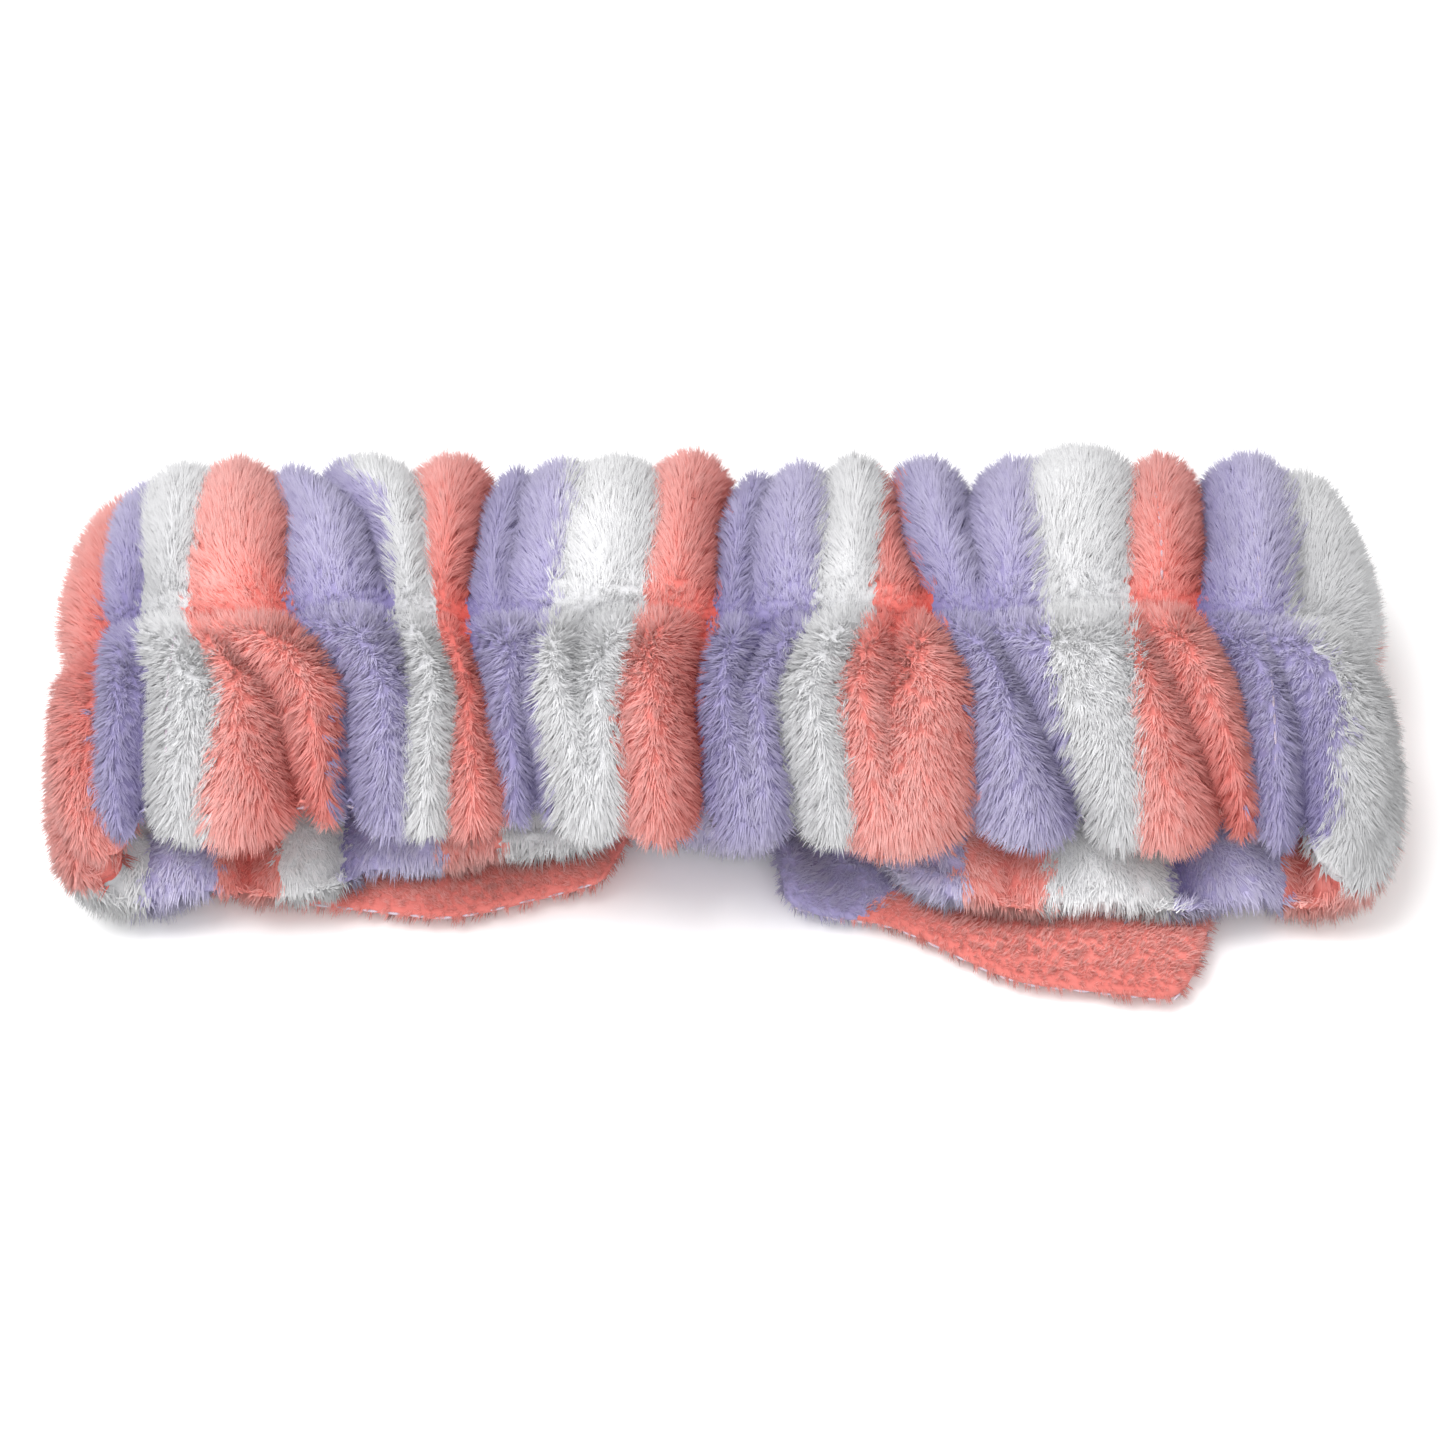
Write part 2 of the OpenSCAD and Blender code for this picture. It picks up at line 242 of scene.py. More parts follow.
class Tree:
    """Adds nodes to a shader or geometry node tree."""

    def __init__(self, tree):
        self.tree = tree

    def add(self, kind, settings=None, inputs=None, out=None):
        """Makes one node and returns its first enabled output, or the one named or numbered out."""
        node = self.tree.nodes.new(kind)
        for name, value in (settings or {}).items():
            setattr(node, name, value)
        for key, value in (inputs or {}).items():
            socket = node.inputs[key] if isinstance(key, int) else self._enabled(node.inputs, key)
            if isinstance(value, Sock):
                self.tree.links.new(value.socket, socket)
            else:
                socket.default_value = value
        if not node.outputs:
            return node
        if isinstance(out, int):
            return Sock(self, node.outputs[out])
        named = [x for x in node.outputs if x.enabled and out in (None, x.name)]
        return Sock(self, named[0])

    @staticmethod
    def _enabled(sockets, name):
        return next(x for x in sockets if x.enabled and x.name == name)

    def vector(self, operation, a, b=None, scale=None):
        inputs = {0: a}
        if b is not None:
            inputs[1] = b
        if scale is not None:
            inputs["Scale"] = scale
        return self.add("ShaderNodeVectorMath", {"operation": operation}, inputs)

    def colour_mix(self, factor, a, b, blend="MIX"):
        return self.add(
            "ShaderNodeMix", {"data_type": "RGBA", "blend_type": blend}, {"Factor": factor, "A": a, "B": b})

    def noise(self, scale, detail=2.0, vector=None, out="Fac", **settings):
        inputs = {"Scale": scale, "Detail": detail}
        if vector is not None:
            inputs["Vector"] = vector
        return self.add("ShaderNodeTexNoise", settings, inputs, out)


def geometry_tree(name, inputs):
    """A geometry node group with named inputs, as (group, Tree, {name: Sock}, set_output)."""
    group = bpy.data.node_groups.new(name, "GeometryNodeTree")
    group.interface.new_socket("Geometry", in_out="INPUT", socket_type="NodeSocketGeometry")
    for label, kind in inputs:
        group.interface.new_socket(label, in_out="INPUT", socket_type="NodeSocket" + kind)
    group.interface.new_socket("Geometry", in_out="OUTPUT", socket_type="NodeSocketGeometry")
    tree = Tree(group)
    entry = group.nodes.new("NodeGroupInput")
    exit_node = group.nodes.new("NodeGroupOutput")
    socks = {s.name: Sock(tree, s) for s in entry.outputs if s.name}

    def finish(sock):
        group.links.new(sock.socket, exit_node.inputs[0])

    return group, tree, socks, finish


def run_tree(host, group, values, name):
    """Runs a geometry tree on host and returns the result as a new plain mesh object."""
    modifier = host.modifiers.new(group.name, "NODES")
    modifier.node_group = group
    for item in group.interface.items_tree:
        if item.item_type == "SOCKET" and item.in_out == "INPUT" and item.name in values:
            modifier[item.identifier] = values[item.name]
    depsgraph = bpy.context.evaluated_depsgraph_get()
    mesh = bpy.data.meshes.new_from_object(host.evaluated_get(depsgraph), depsgraph=depsgraph)
    mesh.name = name
    host.modifiers.remove(modifier)
    return add_object(name, mesh)


# ---------------------------------------------------------------- mesh helpers

def add_object(name, mesh):
    made = bpy.data.objects.new(name, mesh)
    bpy.context.scene.collection.objects.link(made)
    return made


def drop(*objects):
    for gone in objects:
        mesh = gone.data
        bpy.data.objects.remove(gone)
        if isinstance(mesh, bpy.types.Mesh):
            bpy.data.meshes.remove(mesh)


def grid_object(name, points, attributes, closed=(False, False), capped=False):
    """A smooth mesh through a grid of points in mm, with {name: values} as vertex attributes.

    capped closes the ends of a tube whose columns are closed.
    """
    rows, cols = points.shape[:2]
    index = np.arange(rows * cols).reshape(rows, cols)
    if closed[0]:
        index = np.vstack([index, index[:1]])
    if closed[1]:
        index = np.hstack([index, index[:, :1]])
    quads = np.stack([index[:-1, :-1], index[:-1, 1:], index[1:, 1:], index[1:, :-1]], axis=-1).reshape(-1, 4)
    caps = [index[0, :0:-1].tolist(), index[-1, 1:].tolist()] if capped else []
    mesh = bpy.data.meshes.new(name)
    mesh.from_pydata((points.reshape(-1, 3) * MM).tolist(), [], quads.tolist() + caps)
    for label, values in attributes.items():
        flat = np.ascontiguousarray(values, np.float32)
        kind, key = ("FLOAT_VECTOR", "vector") if flat.ndim == 3 else ("FLOAT", "value")
        mesh.attributes.new(label, kind, "POINT").data.foreach_set(key, flat.ravel())
    mesh.shade_smooth()
    return add_object(name, mesh)


def smooth(a, b, x):
    t = np.clip((x - a) / (b - a), 0, 1)
    return t * t * (3 - 2 * t)


def mix(a, b, t):
    return a + (b - a) * t


def unit(vectors):
    return vectors / np.maximum(np.linalg.norm(vectors, axis=-1, keepdims=True), 1e-9)


def grid_normals(points, closed=(False, False)):
    """Normals of a grid, on the side that grid_object's faces point to."""
    def slope(axis):
        if closed[axis]:
            return np.roll(points, -1, axis) - np.roll(points, 1, axis)
        return np.gradient(points, axis=axis)
    return unit(np.cross(slope(1), slope(0)))


def in_bow(points):
    """Turns points from the bow's own frame into the row's frame."""
    c, s = math.cos(BOW_TURN), math.sin(BOW_TURN)
    x, y, z = np.moveaxis(points, -1, 0)
    return np.stack([x * c - y * s, x * s + y * c, z], axis=-1)


# ---------------------------------------------------------------- the loop's shape

ROWS, PLY_COLS = 384, 48


def from_knot(s):
    return LOOP_L / 2 - np.abs(s)


def backness(s):
    return 1 - smooth(JOIN_S, EQUATOR_S + TURN_L, np.abs(s))


def middle_line(s):
    """x and z of the middle line and of the direction that faces out of the loop."""
    side = np.where(s >= 0, 1.0, -1.0)
    a = np.abs(s)
    angle = math.pi / 2 + np.clip((a - FLAT_X) / TURN_L, 0, 1) * math.pi
    reach = np.where(a < FLAT_X, a, np.where(a < FLAT_X + TURN_L, FLAT_X, 2 * FLAT_X + TURN_L - a))
    x = -side * (reach - TURN_R * np.cos(angle))
    z = MID_Z + TURN_R * np.sin(angle)
    return x, z, side * np.cos(angle), np.sin(angle)


def half_height(s):
    """Half the height of the tube: narrow in the knot, and fuller at once on the right than on the left."""
    away = from_knot(s)
    right = mix(KNOT_HALF_H, HALF_H, smooth(13, 40, away))
    left = mix(KNOT_HALF_H, 29.0, smooth(11, 26, away)) + (HALF_H - 29) * smooth(36, 84, away)
    return np.where(s < 0, right, left)


def section(r, s):
    """v, from -1 to 1 across the tube, and half the tube's thickness, at r and s."""
    lobe = np.where(r < 0.5, 2 * r, 2 * r - 1) * math.pi
    back_v = np.where(r < 0.5, -(1 + np.cos(lobe)) / 2, (1 - np.cos(lobe)) / 2)
    back_t = 1.2 * (1 - np.abs(back_v)) + 5.6 * np.abs(np.sin(lobe)) ** 0.62
    front_v = -np.cos(math.pi * r)
    full = mix(3.8, 5.2, smooth(12, 42, from_knot(s)))
    front_t = full * np.sin(math.pi * r) ** 0.8
    b = backness(s)
    return mix(front_v, back_v, b), mix(front_t, back_t, b)


def tube_grid():
    """s, r and side (1 outer, -1 lining) over the closed tube. Edge columns are shared by both plies."""
    s = (np.arange(ROWS) / ROWS - 0.5) * LOOP_L
    outer = np.linspace(0, 1, PLY_COLS)
    r = np.concatenate([outer, outer[-2:0:-1]])
    side = np.concatenate([np.ones(PLY_COLS), -np.ones(PLY_COLS - 2)])
    return np.broadcast_to(s[:, None], (ROWS, len(r))), np.broadcast_to(r, (ROWS, len(r))), side


def smooth_tube():
    """The tube before it is gathered: points, v and normals."""
    s, r, side = tube_grid()
    v, half_t = section(r, s)
    x, z, out_x, out_z = middle_line(s)
    half_h = half_height(s)
    droop = np.where(v < 0, np.where(s > 0, 8.0, 10.0), 3.5)
    sag = mix(3.5, droop, backness(s)) * v * v * smooth(6, 60, from_knot(s))
    sag += 2.5 * smooth(80, HALF_W, np.abs(x))
    off = side * half_t
    near = smooth(18, 50, from_knot(s)) * (1 - smooth(85, 100, from_knot(s)))
    y = v * half_h - np.where(s < 0, 3.5, 1.0) * near
    points = np.stack([x + off * out_x, y, z + off * out_z - sag], axis=-1)
    return points, v, grid_normals(points, (True, True))


def across_stripes(v):
    """x of every stripe edge of the back at v, from left to right."""
    place = np.interp(-v, [-k for k in STRIPE_V], range(len(STRIPE_V)))
    k = min(int(place), len(STRIPE_V) - 2)
    t = place - k
    t = mix(t, t * t * (3 - 2 * t), 0.6)
    rows = np.array(BACK_STRIPES, float)
    return mix(rows[:, k], rows[:, k + 1], t)


def along_loop(x):
    """How far along the loop the outer ply's surface is at x, which bends round the ends of the band."""
    reach = TURN_R + LAYER_T / 2 + 4
    turned = np.arcsin(np.clip((np.abs(x) - FLAT_X) / reach, 0, 1))
    past = np.maximum(np.abs(x) - FLAT_X - reach, 0)
    return np.sign(x) * (np.minimum(np.abs(x), FLAT_X) + turned / math.pi * TURN_L + past)


def stripe_edges(v):
    """s of every stripe edge at v, increasing, from the right end round by the back, left and front."""
    back = -along_loop(across_stripes(v))[::-1]
    front = np.array(FRONT_STRIPES) + 2 * FLAT_X + TURN_L
    return np.concatenate([back, front, [back[0] + LOOP_L]])


def stripe_coordinate(s, v):
    """Counts stripes along the loop. Its whole part over three leaves WHITE, LAVENDER or CORAL."""
    result = np.empty(s.shape)
    count = len(stripe_edges(0)) - 1
    for j in range(s.shape[1]):
        edges = stripe_edges(float(v[ROWS // 2, j]))
        around = np.where(s[:, j] < edges[0], s[:, j] + LOOP_L, s[:, j])
        result[:, j] = np.interp(around, edges, np.arange(len(edges)))
    wrapped = s < -LOOP_L / 4
    return np.where(wrapped & (result > count / 2), result - count, result) + count


def crease_profile(distance, width):
    return np.exp(-(np.sqrt(distance ** 2 + 0.5) - math.sqrt(0.5)) / width)


def placed_creases(s, v, width):
    """How deep the gathered back's outer ply is creased, from 0 on a ruffle to 1."""
    depth = np.zeros(s.shape)
    last = len(BACK_STRIPES) - 1
    for j in range(s.shape[1]):
        vj = float(v[ROWS // 2, j])
        edges = stripe_edges(vj)[:last + 1]
        for start, end, deep_start, deep_end in (FAR_CREASES if vj > 0 else NEAR_CREASES):
            place, deep = mix(start, end, abs(vj)), mix(deep_start, deep_end, abs(vj))
            crease_s = np.interp(last - place, np.arange(last + 1), edges)
            found = deep * crease_profile(np.abs(s[:, j] - crease_s), width)
            depth[:, j] = np.maximum(depth[:, j], found)
    return depth


def random_creases(s, v, pitch, width, seed):
    """Creases across the loop, pitch apart on average, that wander and slant."""
    rng = np.random.default_rng(seed)
    depth = np.zeros(s.shape)
    place = -LOOP_L / 2
    while place < LOOP_L / 2:
        place += pitch * rng.uniform(0.7, 1.3)
        slant, bend, phase = rng.uniform(-4, 4), rng.uniform(1, 3), rng.uniform(0, 6)
        deep = rng.uniform(0.5, 1)
        line = place + slant * v + bend * np.sin(2.5 * v + phase)
        depth = np.maximum(depth, deep * crease_profile(np.abs(s - line), width))
    return depth


def smooth_noise(s, v, scale, seed):
    """Cheap smooth noise from -1 to 1: a few sine waves in random directions."""
    rng = np.random.default_rng(seed)
    total = np.zeros(s.shape)
    for _ in range(6):
        a, b, phase = rng.normal(0, 1), rng.normal(0, 1), rng.uniform(0, 2 * math.pi)
        total += np.sin((a * s + b * v * HALF_H) / scale + phase)
    return total / 4


def upsampled(coarse, shape, steps):
    """A grid that closes both ways, brought back from every steps-th row and column to its full shape."""
    i, j = np.arange(shape[0]) / steps[0], np.arange(shape[1]) / steps[1]
    i0, j0 = i.astype(int), j.astype(int)
    i1, j1 = (i0 + 1) % coarse.shape[0], (j0 + 1) % coarse.shape[1]
    down, along = (i - i0)[:, None, None], (j - j0)[None, :, None]
    return mix(mix(coarse[np.ix_(i0, j0)], coarse[np.ix_(i0, j1)], along),
               mix(coarse[np.ix_(i1, j0)], coarse[np.ix_(i1, j1)], along), down)


EASE = 1.15         # how much wider the cloth is cut than the tube it fills
AIR = 300.0         # pressure inside the tube
MOST_MOVE = 3.0     # the farthest that the simulation may move the cloth
SKY_SHARE = 0.25    # how far the shading of the pile leans to the sky


def filled(points, hold, steps=(3, 2), frames=16):
    """The tube after a short cloth simulation: air fills it while its seams and creases are held."""
    scene = bpy.context.scene
    coarse = points[::steps[0], ::steps[1]]
    cloth = grid_object("settling_cover", coarse, {}, (True, True))
    group = cloth.vertex_groups.new(name="held")
    for index, weight in enumerate(hold[::steps[0], ::steps[1]].ravel()):
        if weight > 0.01:
            group.add([index], float(weight), "REPLACE")
    cloth.shape_key_add(name="Basis")
    cut = cloth.shape_key_add(name="cut")
    flat = coarse.reshape(-1, 3) * (EASE, 1.0, 1.0) * MM
    cut.data.foreach_set("co", flat.astype(np.float32).ravel())
    cut.value = 0
    modifier = cloth.modifiers.new("Cloth", "CLOTH")
    fabric = modifier.settings
    fabric.quality = 6
    fabric.mass = 0.002
    fabric.tension_stiffness = fabric.compression_stiffness = 2.0
    fabric.shear_stiffness = 1.0
    fabric.bending_stiffness = 0.02
    fabric.use_pressure = True
    fabric.uniform_pressure_force = AIR
    fabric.vertex_group_mass = "held"
    fabric.rest_shape_key = cut
    fabric.effector_weights.gravity = 0
    modifier.point_cache.frame_start, modifier.point_cache.frame_end = 1, frames
    for frame_number in range(1, frames + 1):
        scene.frame_set(frame_number)
    shaped = cloth.evaluated_get(bpy.context.evaluated_depsgraph_get()).data
    moved = np.empty(len(shaped.vertices) * 3, np.float32)
    shaped.vertices.foreach_get("co", moved)
    drop(cloth)
    scene.frame_set(1)
    moved = moved.reshape(coarse.shape) / MM - coarse
    far = np.linalg.norm(moved, axis=-1, keepdims=True)
    moved = moved * (MOST_MOVE * np.tanh(far / MOST_MOVE) / np.maximum(far, 1e-6))
    for axis in (0, 1):
        moved = (np.roll(moved, 1, axis) + 2 * moved + np.roll(moved, -1, axis)) / 4
    out = points + upsampled(moved, points.shape[:2], steps)
    out[..., 2] = np.maximum(out[..., 2], np.minimum(points[..., 2], FLOOR_Z + 1.0))
    return out


GATHERED = {}


def gathered_tube(band):
    """The tube with its ruffles, made once: its points, and for each one s, r, v, stripe and creases, with a
    wider copy of the creases as painted shade.
    """
    if GATHERED:
        return GATHERED
    s, r, side = tube_grid()
    points, v, normals = smooth_tube()
    seed = band.seed
    outer = side > 0
    back = backness(s)
    lining = random_creases(s, v, 13, band.crease, seed)
    hidden = np.where(outer, placed_creases(s, v, band.crease), lining)
    to_edge = smooth(0.72, 0.98, np.abs(v)) * ~outer
    at_edge = np.where(v > 0, placed_creases(s, np.ones_like(v) * 0.99, band.crease),
                       placed_creases(s, np.ones_like(v) * -0.99, band.crease))
    back_depth = mix(hidden, at_edge, to_edge)
    front_depth = np.where(outer, random_creases(s, v, 24, band.crease * 1.6, seed + 1),
                           random_creases(s, v, 22, band.crease * 1.6, seed + 2))
    near_knot = 1 - smooth(18, 60, from_knot(s))
    gathers = random_creases(v * 60, s / 60, 9, 1.8, seed + 3) * near_knot
    front_depth = np.maximum(front_depth * (1 - near_knot), gathers)
    shown = smooth(JOIN_S + 16, JOIN_S + 50, np.abs(s))
    depth = mix(back_depth, front_depth, shown)
    # Painted shade: a wider copy of the creases and folds, which later darkens the colour beside them.
    shade = mix(np.where(outer, placed_creases(s, v, 2.6 * band.crease), lining), front_depth, shown)
    height = mix(band.puff, band.front_puff, shown)
    from_seam = mix(smooth(0, 0.28, np.abs(v)), 1.0, 1 - back)
    lift = height * ((0.45 - 1.1 * depth) * from_seam + 0.12 * (1 - depth) * (1 - from_seam))
    lift += 1.0 * smooth_noise(s, v, 10, seed + 4) * from_seam * back
    points = points + normals * lift[..., None]
    scallop = 1.6 * smooth_noise(s, v * 0, 11, seed + 5)
    points[..., 1] += scallop * back * smooth(0.5, 1, np.abs(v)) * np.sign(v)
    points[..., 1] += 2.4 * smooth_noise(s, v * 0, 13, seed + 6) * back * (1 - np.abs(v)) ** 2
    points[..., 2] += 1.0 * smooth_noise(s, v, 14, seed + 7) * back * np.abs(v)
    hold = np.maximum.reduce([crease_profile(np.abs(v) * 38, 1.0), 0.8 * (np.abs(v) > 0.97),
                              1.0 * (depth > 0.8), 1.0 * (from_knot(s) < 24), 0.7 * (side < 0) + 0 * s])
    GATHERED.update(points=filled(points, hold), v=v, s=s, r=r, side=np.broadcast_to(side, s.shape),
                    depth=depth, shade=shade, stripe=stripe_coordinate(s, v), back=back)
    return GATHERED


def seam_trough(s, v, outer):
    """1 where a seam parts the pile: along the elastic, at the joins and at the tacks."""
    along = crease_profile(np.abs(v) * HALF_H, 1.6) * backness(s)
    joins = crease_profile(np.abs(np.abs(s) - JOIN_S), 0.5)
    tacks = crease_profile(np.abs(np.abs(s) - TACK_S), 0.5) * smooth(0.0, 0.1, v) * (1 - smooth(0.6, 0.7, v))
    return np.maximum(along, 0.55 * np.maximum(joins, tacks) * outer)


def off_the_floor(fluff, points, normals):
    """Shortens pile that would reach below the floor, as the weight of the piece flattens it."""
    room = (points[..., 2] - FLOOR_Z) / (PILE_REACH * np.maximum(-normals[..., 2], 0.05))
    return np.minimum(fluff, np.clip(room, 0.22, 2))


def host_attributes(tube, normals):
    """What the pile needs to know at each point of the covers."""
    s, v = tube["s"], tube["v"]
    outer = tube["side"] > 0
    trough = seam_trough(s, v, outer)
    fluff = (1 - 0.6 * tube["depth"] ** 1.5) * (1 - 0.55 * trough)
    fluff = off_the_floor(fluff * np.where(outer, 1.0, 0.85), tube["points"], normals)
    shown = smooth(JOIN_S + 22, JOIN_S + 50, np.abs(s))
    coat = np.where(outer, mix(1.0, 0.26, shown), 0.075)
    coat = np.maximum(coat, 0.8 * smooth(0.5, 0.75, -v) * shown)
    across = unit(np.gradient(tube["points"], axis=1))
    across = across * np.where(outer, 1.0, -1.0)[..., None]
    along = unit(np.gradient(tube["points"], axis=0))
    away = np.clip(v * 3, -1, 1) * np.where(v < 0, 1.9, 1.0)
    swirl = 0.7 * smooth_noise(s, v, 7, 21)
    nap = across * away[..., None] + along * swirl[..., None]
    rise = np.array([0, 0, 1.0]) * (trough * outer * 1.4)[..., None]
    # The crease attribute is painted shade: it darkens the colour beside the creases and along the seam
    # troughs.
    return {"stripe": tube["stripe"], "fluff": fluff, "nap": nap, "lie": unit(normals + rise),
            "crease": np.maximum(tube["shade"], 0.8 * trough), "coat": coat}


# ---------------------------------------------------------------- pile

def lock_shapes():
    """A collection of three locks: each a few fine spikes that close to a point, unit length, along +Z."""
    collection = bpy.data.collections.new("lock_shapes")
    bpy.context.scene.collection.children.link(collection)
    rng = np.random.default_rng(11)
    spikes, sides = 7, 3
    for k in range(3):
        vertices, faces = [], []
        for i in range(spikes):
            turn = 2 * math.pi * (i / spikes) + rng.uniform(-0.4, 0.4)
            foot = np.array([math.cos(turn), math.sin(turn), 0]) * (rng.uniform(0.07, 0.19) if i else 0.0)
            tip = foot * 0.9 + np.array([rng.normal(0, 0.1), rng.normal(0, 0.1), rng.uniform(0.7, 1.05)])
            width = rng.uniform(0.026, 0.035)
            first = len(vertices)
            for a in range(sides):
                angle = 2 * math.pi * a / sides + turn
                vertices.append(foot + np.array([math.cos(angle), math.sin(angle), 0]) * width)
            vertices.append(tip)
            faces.append([first + 2, first + 1, first])
            faces += [[first + a, first + (a + 1) % sides, first + sides] for a in range(sides)]
        mesh = bpy.data.meshes.new(f"lock_{k}")
        mesh.from_pydata([tuple(p) for p in vertices], [], faces)
        height = np.array([p[2] for p in vertices], np.float32)
        mesh.attributes.new("height", "FLOAT", "POINT").data.foreach_set("value", height)
        mesh.shade_smooth()
        shape = bpy.data.objects.new(f"lock_{k}", mesh)
        collection.objects.link(shape)
    return collection


def pile_tree():
    """Locks of pile over a cover: only those whose stripe has the chosen dye are kept."""
    group, t, given, finish = geometry_tree("plush_pile", [
        ("Density", "Float"), ("Length", "Float"), ("Lean", "Float"), ("Spread", "Float"),
        ("Dye", "Float"), ("Seed", "Int"), ("Locks", "Collection"), ("Material", "Material")])

    def attribute(name, kind):
        return t.add("GeometryNodeInputNamedAttribute", {"data_type": kind}, {"Name": name})

    def random(low, high, shift, kind="FLOAT"):
        seed = t.add("ShaderNodeMath", {"operation": "ADD"}, {0: given["Seed"], 1: float(shift)})
        return t.add("FunctionNodeRandomValue", {"data_type": kind}, {"Min": low, "Max": high, "Seed": seed})

    points = t.add(
        "GeometryNodeDistributePointsOnFaces", {"distribute_method": "RANDOM"},
        {"Mesh": given["Geometry"], "Density": given["Density"] * attribute("coat", "FLOAT"),
         "Seed": given["Seed"]}, "Points")
    bleed = random(-0.11, 0.11, 1)
    stripe = t.add("ShaderNodeMath", {"operation": "FLOOR"}, {0: attribute("stripe", "FLOAT") + bleed})
    dye = t.add("ShaderNodeMath", {"operation": "FLOORED_MODULO"}, {0: stripe, 1: 3.0})
    other = t.add("FunctionNodeCompare", {"data_type": "FLOAT", "operation": "NOT_EQUAL"},
                  {"A": dye, "B": given["Dye"], "Epsilon": 0.5})
    points = t.add("GeometryNodeDeleteGeometry", {"domain": "POINT"},
                   {"Geometry": points, "Selection": other})

    lie = attribute("lie", "FLOAT_VECTOR")
    place = t.add("GeometryNodeInputPosition")
    clump = t.noise(230.0, 2.0, place, out="Color")
    clump = t.vector("SUBTRACT", clump, (0.5, 0.5, 0.5))
    clump = t.vector("SCALE", clump, scale=0.9)
    stray = t.vector("SCALE", random((-1, -1, -1), (1, 1, 1), 2, "FLOAT_VECTOR"), scale=given["Spread"])
    nap = t.vector("SCALE", attribute("nap", "FLOAT_VECTOR"), scale=given["Lean"])
    way = t.vector("ADD", t.vector("ADD", lie, nap), t.vector("ADD", stray, clump))
    way = t.vector("NORMALIZE", way)
    upright = t.add("FunctionNodeAlignRotationToVector", {"axis": "Z"}, {"Vector": way})
    twist = t.add("FunctionNodeAxisAngleToRotation", {}, {"Axis": (0, 0, 1), "Angle": random(0.0, 6.283, 3)})
    rotation = t.add("FunctionNodeRotateRotation", {"rotation_space": "LOCAL"},
                     {"Rotation": upright, "Rotate By": twist})
    size = given["Length"] * attribute("fluff", "FLOAT") * random(0.82, 1.1, 4)
    wide = size * (1.95 - attribute("coat", "FLOAT") * 0.95)
    scale = t.add("ShaderNodeCombineXYZ", {}, {"X": wide, "Y": wide, "Z": size})
    points = t.add("GeometryNodeStoreNamedAttribute", {"data_type": "FLOAT", "domain": "POINT"},
                   {"Geometry": points, "Name": "lock_shade", "Value": random(0.0, 1.0, 5)})
    shapes = t.add("GeometryNodeCollectionInfo", {},
                   {"Collection": given["Locks"], "Separate Children": True, "Reset Children": True})
    locks = t.add(
        "GeometryNodeInstanceOnPoints", {},
        {"Points": points, "Instance": shapes, "Pick Instance": True,
         "Instance Index": random(0.0, 2.999, 6), "Rotation": rotation, "Scale": scale})
    real = t.add("GeometryNodeRealizeInstances", {}, {"Geometry": locks})
    finish(t.add("GeometryNodeSetMaterial", {}, {"Geometry": real, "Material": given["Material"]}))
    return group


def stitch_tree():
    """A short length of thread at every point, lying along its way."""
    group, t, given, finish = geometry_tree("stitch_row", [
        ("Length", "Float"), ("Thickness", "Float"), ("Material", "Material")])
    ball = t.add("GeometryNodeMeshUVSphere", {}, {"Segments": 8, "Rings": 6, "Radius": 0.5}, "Mesh")
    ball = t.add("GeometryNodeSetShadeSmooth", {}, {"Geometry": ball, "Shade Smooth": True})
    way = t.add("GeometryNodeInputNamedAttribute", {"data_type": "FLOAT_VECTOR"}, {"Name": "way"})
    rotation = t.add("FunctionNodeAlignRotationToVector", {"axis": "Z"}, {"Vector": way})
    scale = t.add("ShaderNodeCombineXYZ", {}, {
        "X": given["Thickness"], "Y": given["Thickness"], "Z": given["Length"]})
    points = t.add("GeometryNodeMeshToPoints", {}, {"Mesh": given["Geometry"]})
    threads = t.add("GeometryNodeInstanceOnPoints", {},
                    {"Points": points, "Instance": ball, "Rotation": rotation, "Scale": scale})
    real = t.add("GeometryNodeRealizeInstances", {}, {"Geometry": threads})
    finish(t.add("GeometryNodeSetMaterial", {}, {"Geometry": real, "Material": given["Material"]}))
    return group


def soften_pile(made, own_share=0.12):
    """Shades each lock partly by the cloth it stands on, as light does in deep pile."""
    mesh = made.data
    count = len(mesh.vertices)
    lie = np.empty(count * 3, np.float32)
    mesh.attributes["lie"].data.foreach_get("vector", lie)
    own = np.empty(count * 3, np.float32)
    mesh.vertices.foreach_get("normal", own)
    mixed = unit(mix(lie.reshape(-1, 3), own.reshape(-1, 3), own_share) + (0, 0, SKY_SHARE))
    mesh.normals_split_custom_set_from_vertices(mixed.tolist())
    for name in ("lie", "nap", "fluff", "stripe", "coat"):
        if name in mesh.attributes:
            mesh.attributes.remove(mesh.attributes[name])


def grow_pile(host, name, place, length=1.0):
    """Grows each dye's pile on host. place(piece) then bakes each piece in place or makes it ride on a body.
    """
    settings = bpy.context.scene.headband_pile
    group = bpy.data.node_groups.get("plush_pile") or pile_tree()
    locks = bpy.data.collections.get("lock_shapes") or lock_shapes()
    for dye, label in DYES.items():
        piece = run_tree(host, group, {
            "Density": settings.density / (MM * MM), "Length": settings.length * length * MM,
            "Lean": settings.lean, "Spread": settings.spread, "Dye": float(dye), "Seed": settings.seed + dye,
            "Locks": locks, "Material": pile_material(dye)}, f"{name}_{label}_pile")
        if not piece.data.vertices:
            drop(piece)
            continue
        soften_pile(piece)
        place(piece)


# ---------------------------------------------------------------- materials

def new_material(name):
    """An empty material, as (material, Tree, principled node)."""
    material = bpy.data.materials.new(name)
    material.use_nodes = True
    tree = Tree(material.node_tree)
    return material, tree, material.node_tree.nodes["Principled BSDF"]


def link(tree, sock, node, name):
    tree.tree.links.new(sock.socket, node.inputs[name])


def dye_colour(dye):
    return tuple(getattr(bpy.context.scene.headband_dye, DYES[dye])) + (1.0,)


